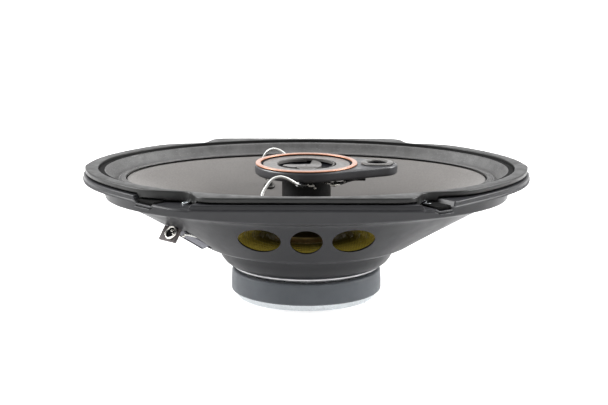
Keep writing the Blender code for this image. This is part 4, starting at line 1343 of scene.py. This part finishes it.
def make_terminal_rivet():
    """The rolled rivet on the board's face, with a black disc of painted shade in its hollow, and two drops
    of solder.
    """
    up, side, face = board_axes()
    middle = Vector(BOARD_FOOT) + up * BOARD_SIZE[0] / 2
    seat = middle + face * (BOARD_SIZE[2] / 2 + GAP)
    place = frame_at(seat + side * RIVET_OFFSET[0] + up * RIVET_OFFSET[1], face, side)
    ring = turned("rivet_ring", [(3.6, 0), (3.5, 0.8), (3.0, 1.1), (2.6, 0.8), (2.5, 0)], 64, 0.25)
    ring.matrix_world = Matrix.LocRotScale(place.translation * MM, place.to_quaternion(), None)
    bpy.context.view_layer.update()
    drops = [blob("solder", place @ Vector((0.6, 0.9, 0.6)), (1.6, 1.2, 1.2), 3),
             blob("solder", place @ Vector((2.6, -0.4, 0.8)), (1.7, 1.4, 1.2), 5)]
    # Painted shade: a black disc in the rivet's hollow
    settle(cylinder("rivet_well_painted_shade", 2.6, 0.5, place, 48), ROOT, BLACK_GLUE_AND_SHADE, slot="fibre_board")
    rivet = joined("terminal_rivet_soldered", [ring] + drops)
    settle(shade(rivet, 50), ROOT, TINNED, "terminal_rivet")


def finish_inner_pieces():
    """CAD pieces that stay as they are, sealed in the pod, get their materials."""
    finishes = {
        "midrange_yoke": STEEL, "midrange_magnet": TINNED, "midrange_pole_plate": STEEL,
        "midrange_coil": COPPER, "super_tweeter_yoke": STEEL, "super_tweeter_magnet": TINNED,
        "super_tweeter_coil": COPPER}
    for name, material in finishes.items():
        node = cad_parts[name]
        node.data.materials.clear()
        node.data.materials.append(material)


# ---------------------------------------------------------------- studio

def make_camera():
    """A long lens, 0.88 m away and 12 degrees above the floor."""
    distance, elevation = 0.880, math.radians(12.12)
    aim = Vector((-0.0012, 0.0, 0.0473))
    data = bpy.data.cameras.new("camera")
    data.lens = 103.1
    data.sensor_width = 36
    data.clip_start = 0.02
    camera = linked("camera", data)
    camera.location = aim + Vector((0, -math.cos(elevation), math.sin(elevation))) * distance
    camera.rotation_euler = (math.radians(90) - elevation, 0, 0)
    camera.rotation_euler.rotate_axis("Z", math.radians(0.126))
    bpy.context.scene.camera = camera


def make_floor():
    cage = bmesh.new()
    bmesh.ops.create_grid(cage, x_segments=1, y_segments=1, size=6.0)
    floor = from_cage("studio_floor", cage)
    floor.location.z = CAD_BOX[0][2]
    paper = bpy.data.materials.new("studio_paper")
    paper.use_nodes = True
    shader = paper.node_tree.nodes["Principled BSDF"]
    shader.inputs["Base Color"].default_value = (0.62, 0.62, 0.62, 1.0)
    shader.inputs["Roughness"].default_value = 0.9
    shader.inputs["Specular IOR Level"].default_value = 0.1
    shader.inputs["Emission Color"].default_value = (1.0, 1.0, 1.0, 1.0)
    shader.inputs["Emission Strength"].default_value = 0.74
    floor.data.materials.append(paper)


def area_light(name, place, size, power, target=(0.0, 0.0, 0.04)):
    data = bpy.data.lights.new(name, "AREA")
    data.shape = "RECTANGLE"
    data.size, data.size_y = size
    data.energy = power
    light = linked(name, data)
    light.location = place
    direction = Vector(target) - Vector(place)
    light.rotation_euler = direction.to_track_quat("-Z", "Y").to_euler()


def make_lights():
    """A pale room with large soft boxes at both sides, above and behind."""
    world = bpy.data.worlds.new("studio")
    bpy.context.scene.world = world
    world.use_nodes = True
    background = world.node_tree.nodes["Background"]
    background.inputs["Color"].default_value = (0.97, 0.985, 1.0, 1.0)
    background.inputs["Strength"].default_value = 0.29
    for name, side in (("left_box", -1.15), ("right_box", 1.15)):
        area_light(name, (side, 0.15, 0.85), (1.0, 0.8), 37)
    area_light("top_box", (0.0, 0.3, 1.3), (1.4, 1.0), 9)
    area_light("back_box", (0.0, 1.6, 0.45), (2.4, 0.7), 6)


bpy.context.scene.view_settings.view_transform = "Standard"
for make in (make_camera, make_floor, make_lights, make_leads,
             make_basket, make_screw_eyelets, make_gasket, make_slot_shade_pads,
             make_surround, make_cone, make_spider, make_voice_coil,
             make_back_plate, make_magnet, make_boot, make_fixings,
             make_post, make_housing, make_trim_ring, make_diffuser, make_midrange, make_super_tweeter,
             make_lugs, make_capacitor, make_eyelets,
             make_terminal_strip, make_terminal_board, make_terminal_rivet, finish_inner_pieces):
    make()
